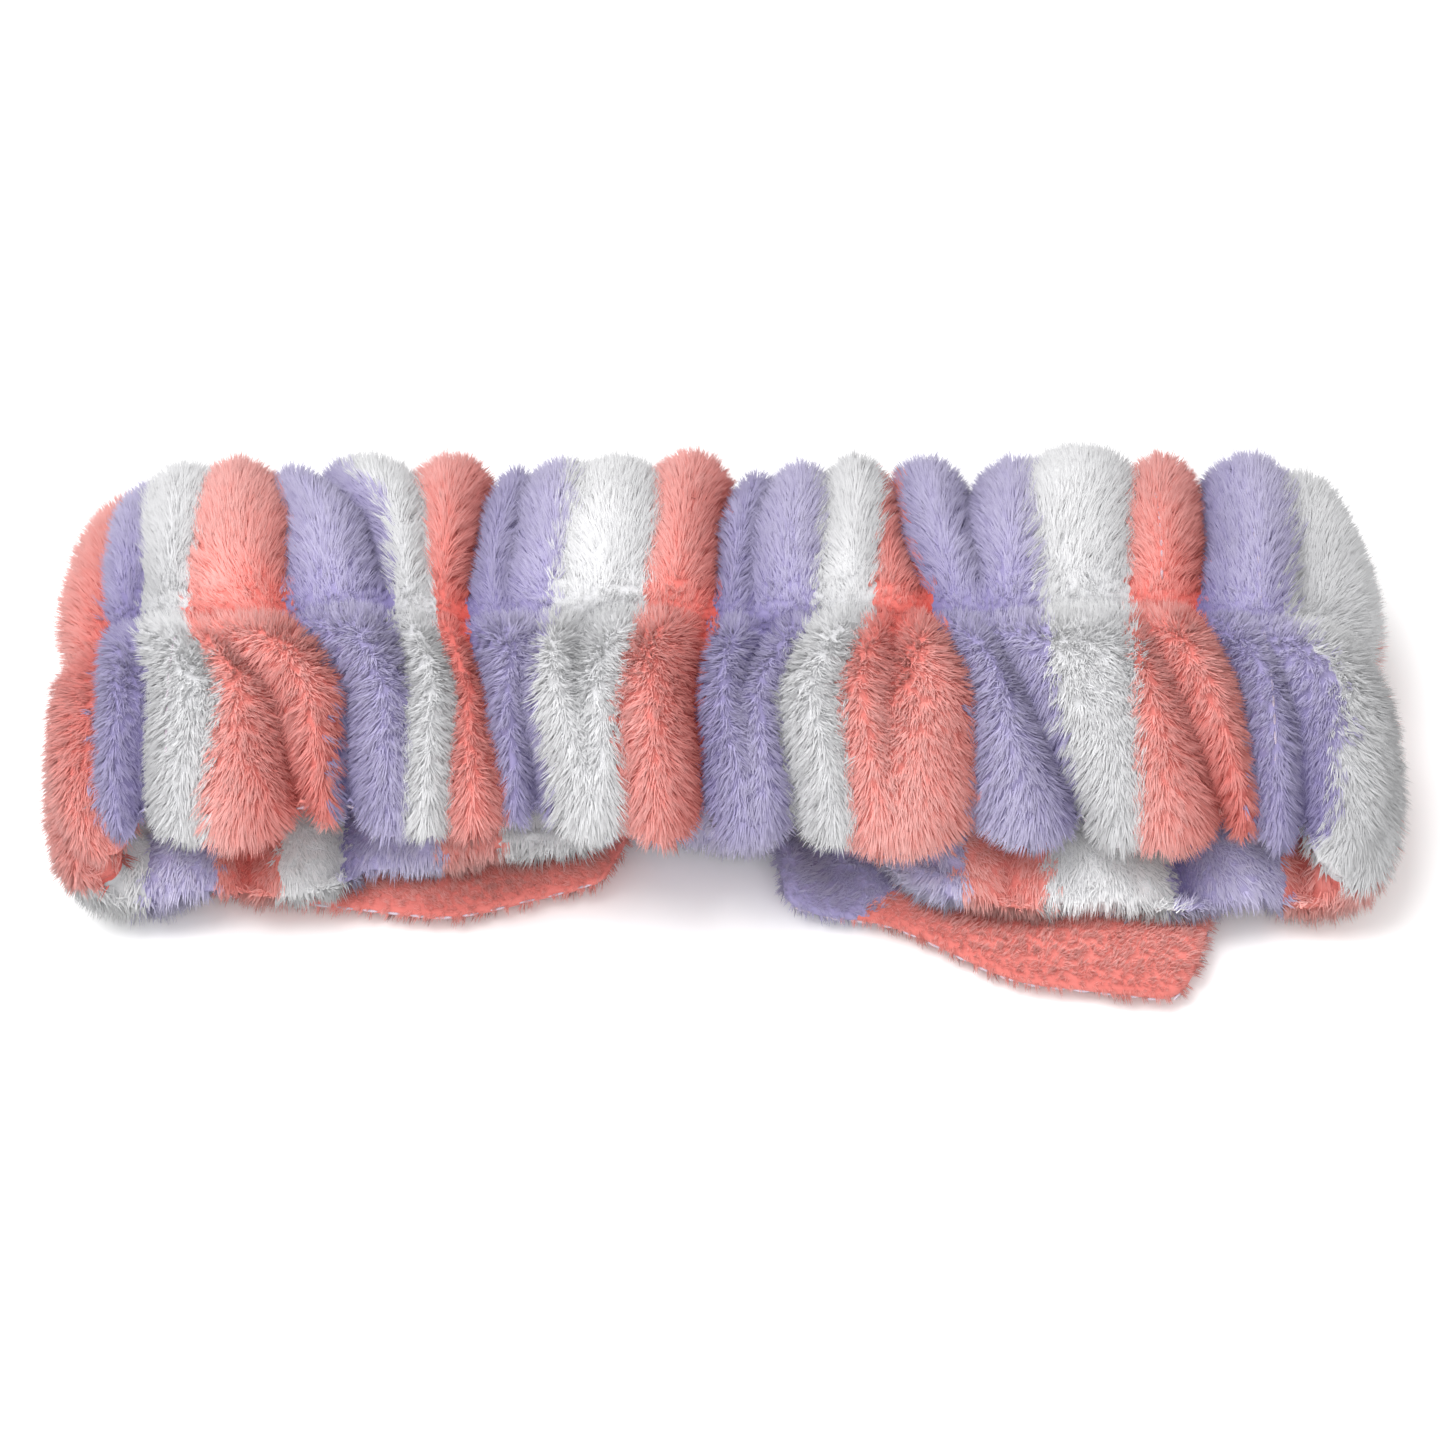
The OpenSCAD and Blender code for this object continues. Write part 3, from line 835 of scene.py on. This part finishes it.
def pile_material(dye):
    """Dyed pile: painted shade makes it deeper at the root and in the creases, a painted highlight makes it
    lighter at the tip, and it is less even at the tip.
    """
    name = DYES[dye] + "_pile"
    if name in bpy.data.materials:
        return bpy.data.materials[name]
    material, t, shader = new_material(name)
    colour = dye_colour(dye)
    # Painted light: the darker root is painted shade deep in the pile, the lighter tip is a painted
    # highlight, and deep is the painted shade of the creases.
    root = tuple(c ** 1.3 for c in colour[:3]) + (1.0,)
    tip = tuple(mix(c, 1.0, 0.12) for c in colour[:3]) + (1.0,)
    deep = tuple(0.6 * c ** 3 for c in colour[:3]) + (1.0,)
    crease = t.add("ShaderNodeAttribute", {"attribute_name": "crease"}, out="Fac")
    height = t.add("ShaderNodeAttribute", {"attribute_name": "height"}, out="Fac")
    shade = t.add("ShaderNodeAttribute", {"attribute_name": "lock_shade"}, out="Fac")
    place = t.add("ShaderNodeTexCoord", out="Object")
    mottle = t.noise(90.0, 2.0, place)
    up = t.add("ShaderNodeMapRange", {"interpolation_type": "SMOOTHSTEP"},
               {"Value": height + (shade - 0.5) * 0.35, "From Min": 0.0, "From Max": 0.8})
    body = t.colour_mix(up, root, tip)
    body = t.colour_mix(crease * 0.9, body, deep)
    uneven = t.add("ShaderNodeMapRange", {}, {"Value": mottle, "To Min": 0.9, "To Max": 1.06})
    toned = t.add("ShaderNodeHueSaturation", {}, {"Color": body, "Value": uneven})
    link(t, toned, shader, "Base Color")
    shader.inputs["Roughness"].default_value = 0.75
    shader.inputs["Specular IOR Level"].default_value = 0.25
    shader.inputs["Sheen Weight"].default_value = 0.12
    shader.inputs["Sheen Roughness"].default_value = 0.5
    return material


def ground_material():
    """The knitted ground under the pile, dyed in the same stripes, darkened as painted shade under the pile
    and darker still as painted shade in the creases.
    """
    name = "fleece_ground"
    if name in bpy.data.materials:
        return bpy.data.materials[name]
    material, t, shader = new_material(name)
    stripe = t.add("ShaderNodeAttribute", {"attribute_name": "stripe"}, out="Fac")
    place = t.add("ShaderNodeTexCoord", out="Object")
    wobble = (t.noise(400.0, 2.0, place) - 0.5) * 0.25
    dye = t.add("ShaderNodeMath", {"operation": "FLOORED_MODULO"}, {0: stripe + wobble, 1: 3.0})

    def over(edge):
        return t.add("ShaderNodeMath", {"operation": "GREATER_THAN"}, {0: dye, 1: edge})

    # deep gives a darker copy of a dye, used as painted shade.
    def deep(which, power=1.5, value=0.85):
        return tuple(value * c ** power for c in dye_colour(which)[:3]) + (1.0,)

    # The ground's base colour is each dye darkened as painted shade under the pile.
    colour = t.colour_mix(over(1.0), deep(WHITE), deep(LAVENDER))
    colour = t.colour_mix(over(2.0), colour, deep(CORAL))
    # Painted shade for the creases and seams, mixed in by the crease attribute.
    painted_crease_shade = t.colour_mix(over(1.0), deep(WHITE, 3, 0.5), deep(LAVENDER, 3, 0.5))
    painted_crease_shade = t.colour_mix(over(2.0), painted_crease_shade, deep(CORAL, 3, 0.5))
    crease = t.add("ShaderNodeAttribute", {"attribute_name": "crease"}, out="Fac")
    colour = t.colour_mix(crease, colour, painted_crease_shade)
    tufts = t.noise(1400.0, 3.0, place)
    colour = t.colour_mix(tufts * 0.5, colour, (0.85, 0.85, 0.87, 1.0), "MULTIPLY")
    link(t, colour, shader, "Base Color")
    bump = t.add("ShaderNodeBump", {}, {"Strength": 0.5, "Distance": 0.0006, "Height": tufts})
    link(t, bump, shader, "Normal")
    shader.inputs["Roughness"].default_value = 0.9
    shader.inputs["Sheen Weight"].default_value = 0.1
    return material


def thread_material():
    """Twisted thread with a slight shine."""
    name = "twisted_thread"
    if name in bpy.data.materials:
        return bpy.data.materials[name]
    material, t, shader = new_material(name)
    place = t.add("ShaderNodeTexCoord", out="Object")
    twist = t.add("ShaderNodeTexWave", {"bands_direction": "DIAGONAL"},
                  {"Vector": place, "Scale": 1500.0, "Distortion": 0.5}, "Fac")
    colour = tuple(bpy.context.scene.headband_dye.thread) + (1.0,)
    dark = tuple(c * 0.7 for c in colour[:3]) + (1.0,)
    link(t, t.colour_mix(twist, dark, colour), shader, "Base Color")
    bump = t.add("ShaderNodeBump", {}, {"Strength": 0.4, "Distance": 0.0001, "Height": twist})
    link(t, bump, shader, "Normal")
    shader.inputs["Roughness"].default_value = 0.6
    return material


def elastic_material():
    """Woven elastic: ribs along it and rows of weft across."""
    name = "ribbed_elastic"
    if name in bpy.data.materials:
        return bpy.data.materials[name]
    material, t, shader = new_material(name)
    place = t.add("ShaderNodeTexCoord", out="Object")
    ribs = t.add("ShaderNodeTexWave", {"bands_direction": "Y"}, {"Vector": place, "Scale": 160.0}, "Fac")
    weft = t.add("ShaderNodeTexWave", {"bands_direction": "X"}, {"Vector": place, "Scale": 420.0}, "Fac")
    weave = ribs * 0.6 + weft * 0.4
    link(t, t.colour_mix(weave, (0.55, 0.55, 0.56, 1.0), (0.86, 0.86, 0.85, 1.0)), shader, "Base Color")
    bump = t.add("ShaderNodeBump", {}, {"Strength": 0.6, "Distance": 0.0003, "Height": weave})
    link(t, bump, shader, "Normal")
    shader.inputs["Roughness"].default_value = 0.7
    return material


# ---------------------------------------------------------------- placing pieces

LOOP_BLEND = ((0, 0, (FRONT_Z + 7) * MM), (0, 0, (BACK_Z - 9) * MM))


def with_loop(piece):
    """Bakes the piece's transform into its mesh, where it stays."""
    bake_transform(piece)


def rides(body):
    return lambda piece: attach(piece, body)


def wing_place():
    """A placer for pieces of one wing: it bakes each piece's transform into its mesh."""

    def place(piece):
        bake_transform(piece)

    return place


def finish_cover(piece, place, slot, *nodes):
    piece.data.materials.append(ground_material())
    place(piece)
    if nodes:
        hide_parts(*nodes)


def sew(name, places, ways, length, place, node):
    """A row of stitches at places, each lying along its way, in place of a CAD node."""
    host_mesh = bpy.data.meshes.new("host")
    host_mesh.from_pydata((places * MM).tolist(), [], [])
    host_mesh.attributes.new("way", "FLOAT_VECTOR", "POINT").data.foreach_set(
        "vector", np.ascontiguousarray(ways, np.float32).ravel())
    host = add_object("host", host_mesh)
    made = run_tree(host, bpy.data.node_groups.get("stitch_row") or stitch_tree(), {
        "Length": length * MM, "Thickness": 0.55 * MM, "Material": thread_material()}, name)
    drop(host)
    place(made)
    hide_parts(node)


# ---------------------------------------------------------------- operators

class HEADBAND_OT_band(bpy.types.Operator):
    """Builds the fleece tube of the band, its gathers and its pile"""
    bl_idname = "headband.band"
    bl_label = "Build Band"

    def execute(self, context):
        scene = context.scene
        tube = gathered_tube(scene.headband_band)
        points = tube["points"]
        normals = grid_normals(points, (True, True))
        attributes = host_attributes(tube, normals)
        s = tube["s"][:, 0]
        outer = slice(0, PLY_COLS)
        lining = list(range(PLY_COLS - 1, points.shape[1])) + [0]
        is_back = np.abs(s) <= EQUATOR_S
        back_rows = np.flatnonzero(is_back)
        back_rows = np.append(back_rows, back_rows[-1] + 1)
        front_rows = np.concatenate([np.arange(back_rows[-1], ROWS), np.arange(0, back_rows[0] + 1)])

        def part(name, rows, cols):
            pick = np.ix_(rows, np.arange(points.shape[1])[cols] if isinstance(cols, slice) else cols)
            return grid_object(name, points[pick], {k: a[pick] for k, a in attributes.items()})

        covers = {
            "back_cover": (back_rows, ("back_outer_panel", "back_lining_panel", "left_turn_outer",
                                       "left_turn_lining", "right_turn_outer", "right_turn_lining")),
            "front_cover": (front_rows, ("front_outer_panel", "front_lining_panel")),
        }
        for name, (rows, nodes) in covers.items():
            # The covers carry the crease attribute, painted shade, into the ground's colour.
            cover = grid_object(name, points[rows], {k: attributes[k][rows] for k in ("stripe", "crease")},
                                (False, True), capped=True)
            finish_cover(cover, with_loop, "plush_fleece", *nodes)

        quarters = [np.append(rows, rows[-1] + 1) for rows in np.array_split(back_rows[:-1], 4)]
        coats = [(f"back_quarter_{k + 1}", rows, outer, "plush_fleece") for k, rows in enumerate(quarters)]
        coats += [("front_outer", front_rows, outer, "plush_fleece"),
                  ("front_lining", front_rows, lining, "lining_fleece"),
                  ("back_lining", back_rows, lining, "lining_fleece")]
        for name, rows, cols, slot in coats:
            host = part("host", rows, cols)
            grow_pile(host, name, with_loop)
            drop(host)
        return {"FINISHED"}


def wing_grid(side, rows=56, cols=72):
    """One wing as a closed pillow, from inside the knot to the tip, with folds that fan out of the knot."""
    x0, tip = 8.0, 10.0
    t = np.linspace(0, 1, rows)
    x = mix(x0, BOW_HALF_W, t ** 0.9)
    full = mix(WAIST_HALF_H, 36.0, smooth(9, 17, x))
    full += (BOW_HALF_H - 36) * (smooth(30, 62, x) if side > 0 else smooth(16, 46, x))
    over = np.clip((x - (BOW_HALF_W - tip)) / tip, 0, 1)
    half = full * np.clip(1 - over ** 3.2, 0.0, 1) ** (1 / 2.6)
    q = np.linspace(0, 2 * math.pi, cols, endpoint=False)
    across = -np.cos(q)
    top = np.sin(q)
    fan = np.arctan2(across[None, :] * half[:, None], x[:, None])
    folds = np.sin(fan * 17 + side) * 1.3 * (1 - smooth(25, 70, x))[:, None]
    folds += 0.8 * np.sin(x[:, None] / 9 + across[None, :] * 3 + side)
    rise = 3.0 * (1 - smooth(WAIST_FLAT, WAIST_FLAT + 10, x))[:, None]
    thick = 2.2 * (np.abs(top)[None, :] ** 0.5) * np.sign(top)[None, :]
    thick = thick * np.clip(1 - over ** 3, 0.02, 1)[:, None] ** 0.5
    z = 2.6 + rise + thick
    z = z + np.where(top > 0, 0.9, 0.15)[None, :] * folds * np.abs(top)[None, :]
    y = across[None, :] * half[:, None]
    points = np.stack([np.broadcast_to(side * x[:, None], y.shape), y, z], axis=-1)
    slant = 20 * (1 - smooth(24, 46, x)) * (1 if side > 0 else 0)
    stripe = bow_stripes(across[None, :] * BOW_HALF_H + slant[:, None])
    return in_bow(points), stripe, top


BOW_STRIPES = [-70, -28, -9, 10, 30, 49, 68, 87]


def bow_stripes(y):
    """Stripes that run along the bow: coral at its near edge, then lavender, white, coral and so on."""
    return 3 * len(BOW_STRIPES) - np.interp(y, BOW_STRIPES, np.arange(len(BOW_STRIPES))) - 0.001


class HEADBAND_OT_bow(bpy.types.Operator):
    """Builds the bow's two wings and their pile"""
    bl_idname = "headband.bow"
    bl_label = "Build Bow"

    def execute(self, context):
        for side, name in ((-1, "left_wing"), (1, "right_wing")):
            points, stripe, top = wing_grid(side)
            order = slice(None) if side < 0 else slice(None, None, -1)
            points, stripe, tops = points[:, order], stripe[:, order], top[order]
            normals = grid_normals(points, (False, True))
            nap = np.zeros_like(points)
            nap[..., 0] = side * 0.5
            nap[..., 1] = np.sign(points[..., 1]) * 0.8
            down = tops < 0
            rim = 1 - smooth(0.15, 0.5, np.abs(tops))[None, :]
            fluff = off_the_floor((0.68 - 0.18 * rim) * np.ones(stripe.shape), points, normals)
            nap[:, down] *= 2.0
            near = smooth(18, 34, -points[..., 1]) * ~down
            # The crease value on a wing is painted shadow of the band over it, with more painted shade at the
            # wing's edges.
            attributes = {"stripe": stripe, "fluff": fluff, "nap": nap, "lie": normals,
                          "crease": 0.3 + 0.2 * rim + np.zeros(stripe.shape),
                          "coat": np.where(down, 0.12, mix(0.34, 0.8, near))}
            cover = grid_object(f"{name}_cover", points, {k: attributes[k] for k in ("stripe", "crease")},
                                (False, True), capped=True)
            place = wing_place()
            host = grid_object("host", points, attributes, (False, True))
            grow_pile(host, name, place)
            drop(host)
            finish_cover(cover, place, "bow_fleece", f"{name}_upper_ply", f"{name}_lower_ply")
            edge = points[6:-1:3, [0, points.shape[1] // 2]]
            way = unit(np.gradient(edge, axis=0))
            sew(f"{name}_edge_stitches", edge.reshape(-1, 3), way.reshape(-1, 3), 3.0, place,
                f"{name}_edge_stitching")
        return {"FINISHED"}


def waist_grid(rows=40, cols=48):
    """The pleated waist of the bow, inside the knot."""
    x = np.linspace(-WAIST_FLAT - 1, WAIST_FLAT + 1, rows)
    q = np.linspace(0, 2 * math.pi, cols, endpoint=False)
    ends = np.clip((WAIST_FLAT + 1 - np.abs(x)) / 2, 0.05, 1)[:, None]
    pleat = 0.5 * np.sin(7 * -np.cos(q))[None, :] * np.abs(np.sin(q))[None, :]
    y = -np.cos(q)[None, :] * (WAIST_HALF_H - 0.3) * ends
    z = 5.6 + (np.sign(np.sin(q)) * np.abs(np.sin(q)) ** 0.5 * 1.9)[None, :] * ends + pleat
    points = np.stack([np.broadcast_to(x[:, None], y.shape), y, z], axis=-1)
    return in_bow(points[:, ::-1])


def knot_grid(rows=120, cols=40):
    """The wrap that ties the bow to the band: a padded strip round both."""
    low, high = box_mm("knot_wrap")
    half_y, mid_z, half_z = HALF_WRAP - 1.0, (low[2] + high[2]) / 2, (high[2] - low[2]) / 2 - 1.0
    a = np.linspace(0, 2 * math.pi, rows, endpoint=False)
    cos_a, sin_a = np.cos(a), np.sin(a)
    size = (np.abs(cos_a) ** 4 + np.abs(sin_a) ** 4) ** -0.25
    path_y, path_z = half_y * cos_a * size, mid_z + half_z * sin_a * size
    out = unit(np.stack([cos_a * np.abs(cos_a * size) ** 2 / half_y,
                         sin_a * np.abs(sin_a * size) ** 2 / half_z], -1))
    q = np.linspace(0, 2 * math.pi, cols, endpoint=False)
    strip_x = -np.cos(q) * (WRAP_HALF_W + 0.6 * np.sin(5 * a)[:, None])
    thick = np.sign(np.sin(q)) * np.abs(np.sin(q)) ** 0.6
    gather = 0.5 * np.sin(4 * -np.cos(q))[None, :] * (thick > 0)
    off = np.where(thick > 0, 1.4, 0.9) * thick + gather * np.abs(thick)
    y = path_y[:, None] + out[:, :1] * off
    z = path_z[:, None] + out[:, 1:] * off
    return np.stack([strip_x, y, z], axis=-1)[:, ::-1], (thick > 0)[::-1]


class HEADBAND_OT_knot(bpy.types.Operator):
    """Builds the bow's waist and the wrap that ties the bow to the band"""
    bl_idname = "headband.knot"
    bl_label = "Build Knot"

    def execute(self, context):
        waist = waist_grid()
        cover = grid_object("bow_waist_cover", waist, {"stripe": np.full(waist.shape[:2], LAVENDER + 0.5)},
                            (False, True), capped=True)
        finish_cover(cover, rides("bow"), "bow_fleece", "bow_waist")

        points, outside = knot_grid()
        points = in_bow(points)
        normals = grid_normals(points, (True, True))
        stripe = np.full(points.shape[:2], LAVENDER + 0.5)
        cover = grid_object("knot_cover", points, {"stripe": stripe}, (True, True))
        finish_cover(cover, rides("bow"), "bow_fleece", "knot_wrap")
        nap = np.zeros_like(points)
        nap[..., 1] = np.sign(points[..., 1]) * 0.5
        attributes = {"stripe": stripe, "fluff": off_the_floor(np.full(stripe.shape, 0.75), points, normals),
                      "nap": nap, "lie": normals, "crease": np.zeros(stripe.shape),
                      "coat": np.where(outside, 0.45, 0.0)[None, :] * np.ones(stripe.shape)}
        host = grid_object("host", points, attributes, (True, True))
        grow_pile(host, "knot", rides("bow"))
        drop(host)
        return {"FINISHED"}


def on_cover(tube, s, v, side=1):
    """A point of the gathered tube's outer ply, or of its lining, at s and v."""
    place = (s / LOOP_L + 0.5) * ROWS
    rows = int(place) % ROWS, (int(place) + 1) % ROWS
    count = tube["v"].shape[1]
    cols = np.arange(PLY_COLS) if side > 0 else np.arange(count - 1, PLY_COLS - 2, -1)
    found = [[np.interp(v, tube["v"][row, cols], tube["points"][row, cols, k]) for k in range(3)]
             for row in rows]
    return mix(np.array(found[0]), np.array(found[1]), place - int(place))


class HEADBAND_OT_sewing(bpy.types.Operator):
    """Sews the elastic, its ends and the seams between the back and the front"""
    bl_idname = "headband.sewing"
    bl_label = "Sew Band"

    def execute(self, context):
        tube = gathered_tube(context.scene.headband_band)

        def row(name, node, ends):
            starts = np.array([on_cover(tube, *end[:2], side=end[2]) for end in ends])
            stops = np.array([on_cover(tube, *end[3:], side=end[2]) for end in ends])
            sew(name, (starts + stops) / 2, unit(stops - starts), 2.4, with_loop, node)

        pitch = 3.4
        along = [(k * pitch - JOIN_S + 4, 0.0, side, k * pitch - JOIN_S + 6.4, 0.0)
                 for side in (1, -1) for k in range(int((2 * JOIN_S - 8) / pitch))]
        row("elastic_stitches", "elastic_stitching", along)
        across = np.arange(-0.8, 0.74, 0.08)
        for name, s in (("left", JOIN_S + 1.2), ("right", -JOIN_S - 1.2)):
            row(f"{name}_join_stitches", f"{name}_join_stitching", [(s, v, 1, s, v + 0.05) for v in across])
        side_s = np.arange(-JOIN_S + 8, JOIN_S - 8, 4.2)
        row("back_edge_stitches", "back_edge_stitching",
            [(s, v, -1, s + 2.4, v) for v in (-0.93, 0.93) for s in side_s])
        front_s = np.arange(JOIN_S + 8, LOOP_L / 2 - 28, 4.2)
        row("front_edge_stitches", "front_edge_stitching",
            [(turn * s, v, 1, turn * (s + 2.4), v) for v in (-0.9, 0.9) for turn in (-1, 1) for s in front_s])
        row("elastic_tack_stitches", "elastic_tack_stitching",
            [(s, v, 1, s, v + 0.05) for s in (-TACK_S, TACK_S) for v in np.arange(0.12, 0.62, 0.08)])
        return {"FINISHED"}


class HEADBAND_OT_finishes(bpy.types.Operator):
    """Gives the elastic and the hidden thread their finishes"""
    bl_idname = "headband.finishes"
    bl_label = "Finish Elastic and Thread"

    def execute(self, context):
        for made in context.scene.objects:
            if made.name == "elastic_strip":
                made.data.materials[0] = elastic_material()
            elif made.name.endswith(("_stitching", "_thread")):
                made.data.materials[0] = thread_material()
        return {"FINISHED"}


class HEADBAND_OT_stage(bpy.types.Operator):
    """Adds the floor, the lights and the camera"""
    bl_idname = "headband.stage"
    bl_label = "Build Stage"

    def execute(self, context):
        scene = context.scene
        stage = scene.headband_stage
        points = np.array([[[-2000, -2000, FLOOR_Z], [-2000, 2000, FLOOR_Z]],
                           [[2000, -2000, FLOOR_Z], [2000, 2000, FLOOR_Z]]], float)
        floor = grid_object("floor", points[:, ::-1], {})
        material, _, shader = new_material("paper_floor")
        shader.inputs["Base Color"].default_value = (0.93, 0.93, 0.93, 1)
        shader.inputs["Roughness"].default_value = 0.9
        floor.data.materials.append(material)

        world = bpy.data.worlds.new("studio")
        scene.world = world
        world.use_nodes = True
        background = world.node_tree.nodes["Background"]
        background.inputs["Color"].default_value = (1.0, 1.0, 1.0, 1)
        background.inputs["Strength"].default_value = 0.75

        def softbox(name, place, size, watts):
            light = bpy.data.lights.new(name, "AREA")
            light.shape = "DISK"
            light.size = size
            light.energy = watts
            lamp = bpy.data.objects.new(name, light)
            lamp.location = place
            lamp.rotation_euler = (Vector((0, 0, 0.02)) - Vector(place)).to_track_quat("-Z", "Y").to_euler()
            scene.collection.objects.link(lamp)

        softbox("key", (-0.4, -0.2, 1.1), 0.7, 11.0)
        softbox("fill", (0.0, -0.8, 0.8), 0.9, 5.0)

        camera = bpy.data.cameras.new("camera")
        camera.sensor_width = 36
        camera.lens = camera.sensor_width * stage.distance / stage.view_w
        camera.clip_start = 0.01
        viewer = bpy.data.objects.new("camera", camera)
        target = Vector((0, -9.0, 20.0)) * MM
        reach = stage.distance * MM
        away = Vector((0, -math.cos(stage.elevation), math.sin(stage.elevation)))
        viewer.location = target + away * reach
        viewer.rotation_euler = (-away).to_track_quat("-Z", "Y").to_euler()
        scene.collection.objects.link(viewer)
        scene.camera = viewer
        scene.view_settings.view_transform = "Standard"
        return {"FINISHED"}


class HEADBAND_PT_panel(bpy.types.Panel):
    bl_label = "Headband"
    bl_idname = "HEADBAND_PT_panel"
    bl_space_type = "VIEW_3D"
    bl_region_type = "UI"
    bl_category = "Headband"

    def draw(self, context):
        layout = self.layout
        for group in GROUPS:
            settings = getattr(context.scene, group)
            for name in settings.__annotations__:
                layout.prop(settings, name)
        for operator in OPERATORS:
            layout.operator(operator.bl_idname)


GROUPS = {
    "headband_band": BandSettings, "headband_pile": PileSettings,
    "headband_dye": DyeSettings, "headband_stage": StageSettings,
}
OPERATORS = (HEADBAND_OT_stage, HEADBAND_OT_band, HEADBAND_OT_bow, HEADBAND_OT_knot, HEADBAND_OT_sewing,
             HEADBAND_OT_finishes)
CLASSES = (*GROUPS.values(), *OPERATORS, HEADBAND_PT_panel)


def register():
    for cls in CLASSES:
        bpy.utils.register_class(cls)
    for name, cls in GROUPS.items():
        setattr(bpy.types.Scene, name, bpy.props.PointerProperty(type=cls))


def unregister():
    for name in GROUPS:
        delattr(bpy.types.Scene, name)
    for cls in reversed(CLASSES):
        bpy.utils.unregister_class(cls)


def remove_lock_shapes():
    collection = bpy.data.collections["lock_shapes"]
    drop(*collection.objects)
    bpy.data.collections.remove(collection)


def main():
    register()
    bpy.ops.headband.stage()
    bpy.ops.headband.band()
    bpy.ops.headband.bow()
    bpy.ops.headband.knot()
    bpy.ops.headband.sewing()
    bpy.ops.headband.finishes()
    remove_lock_shapes()


if __name__ == "__main__":
    main()
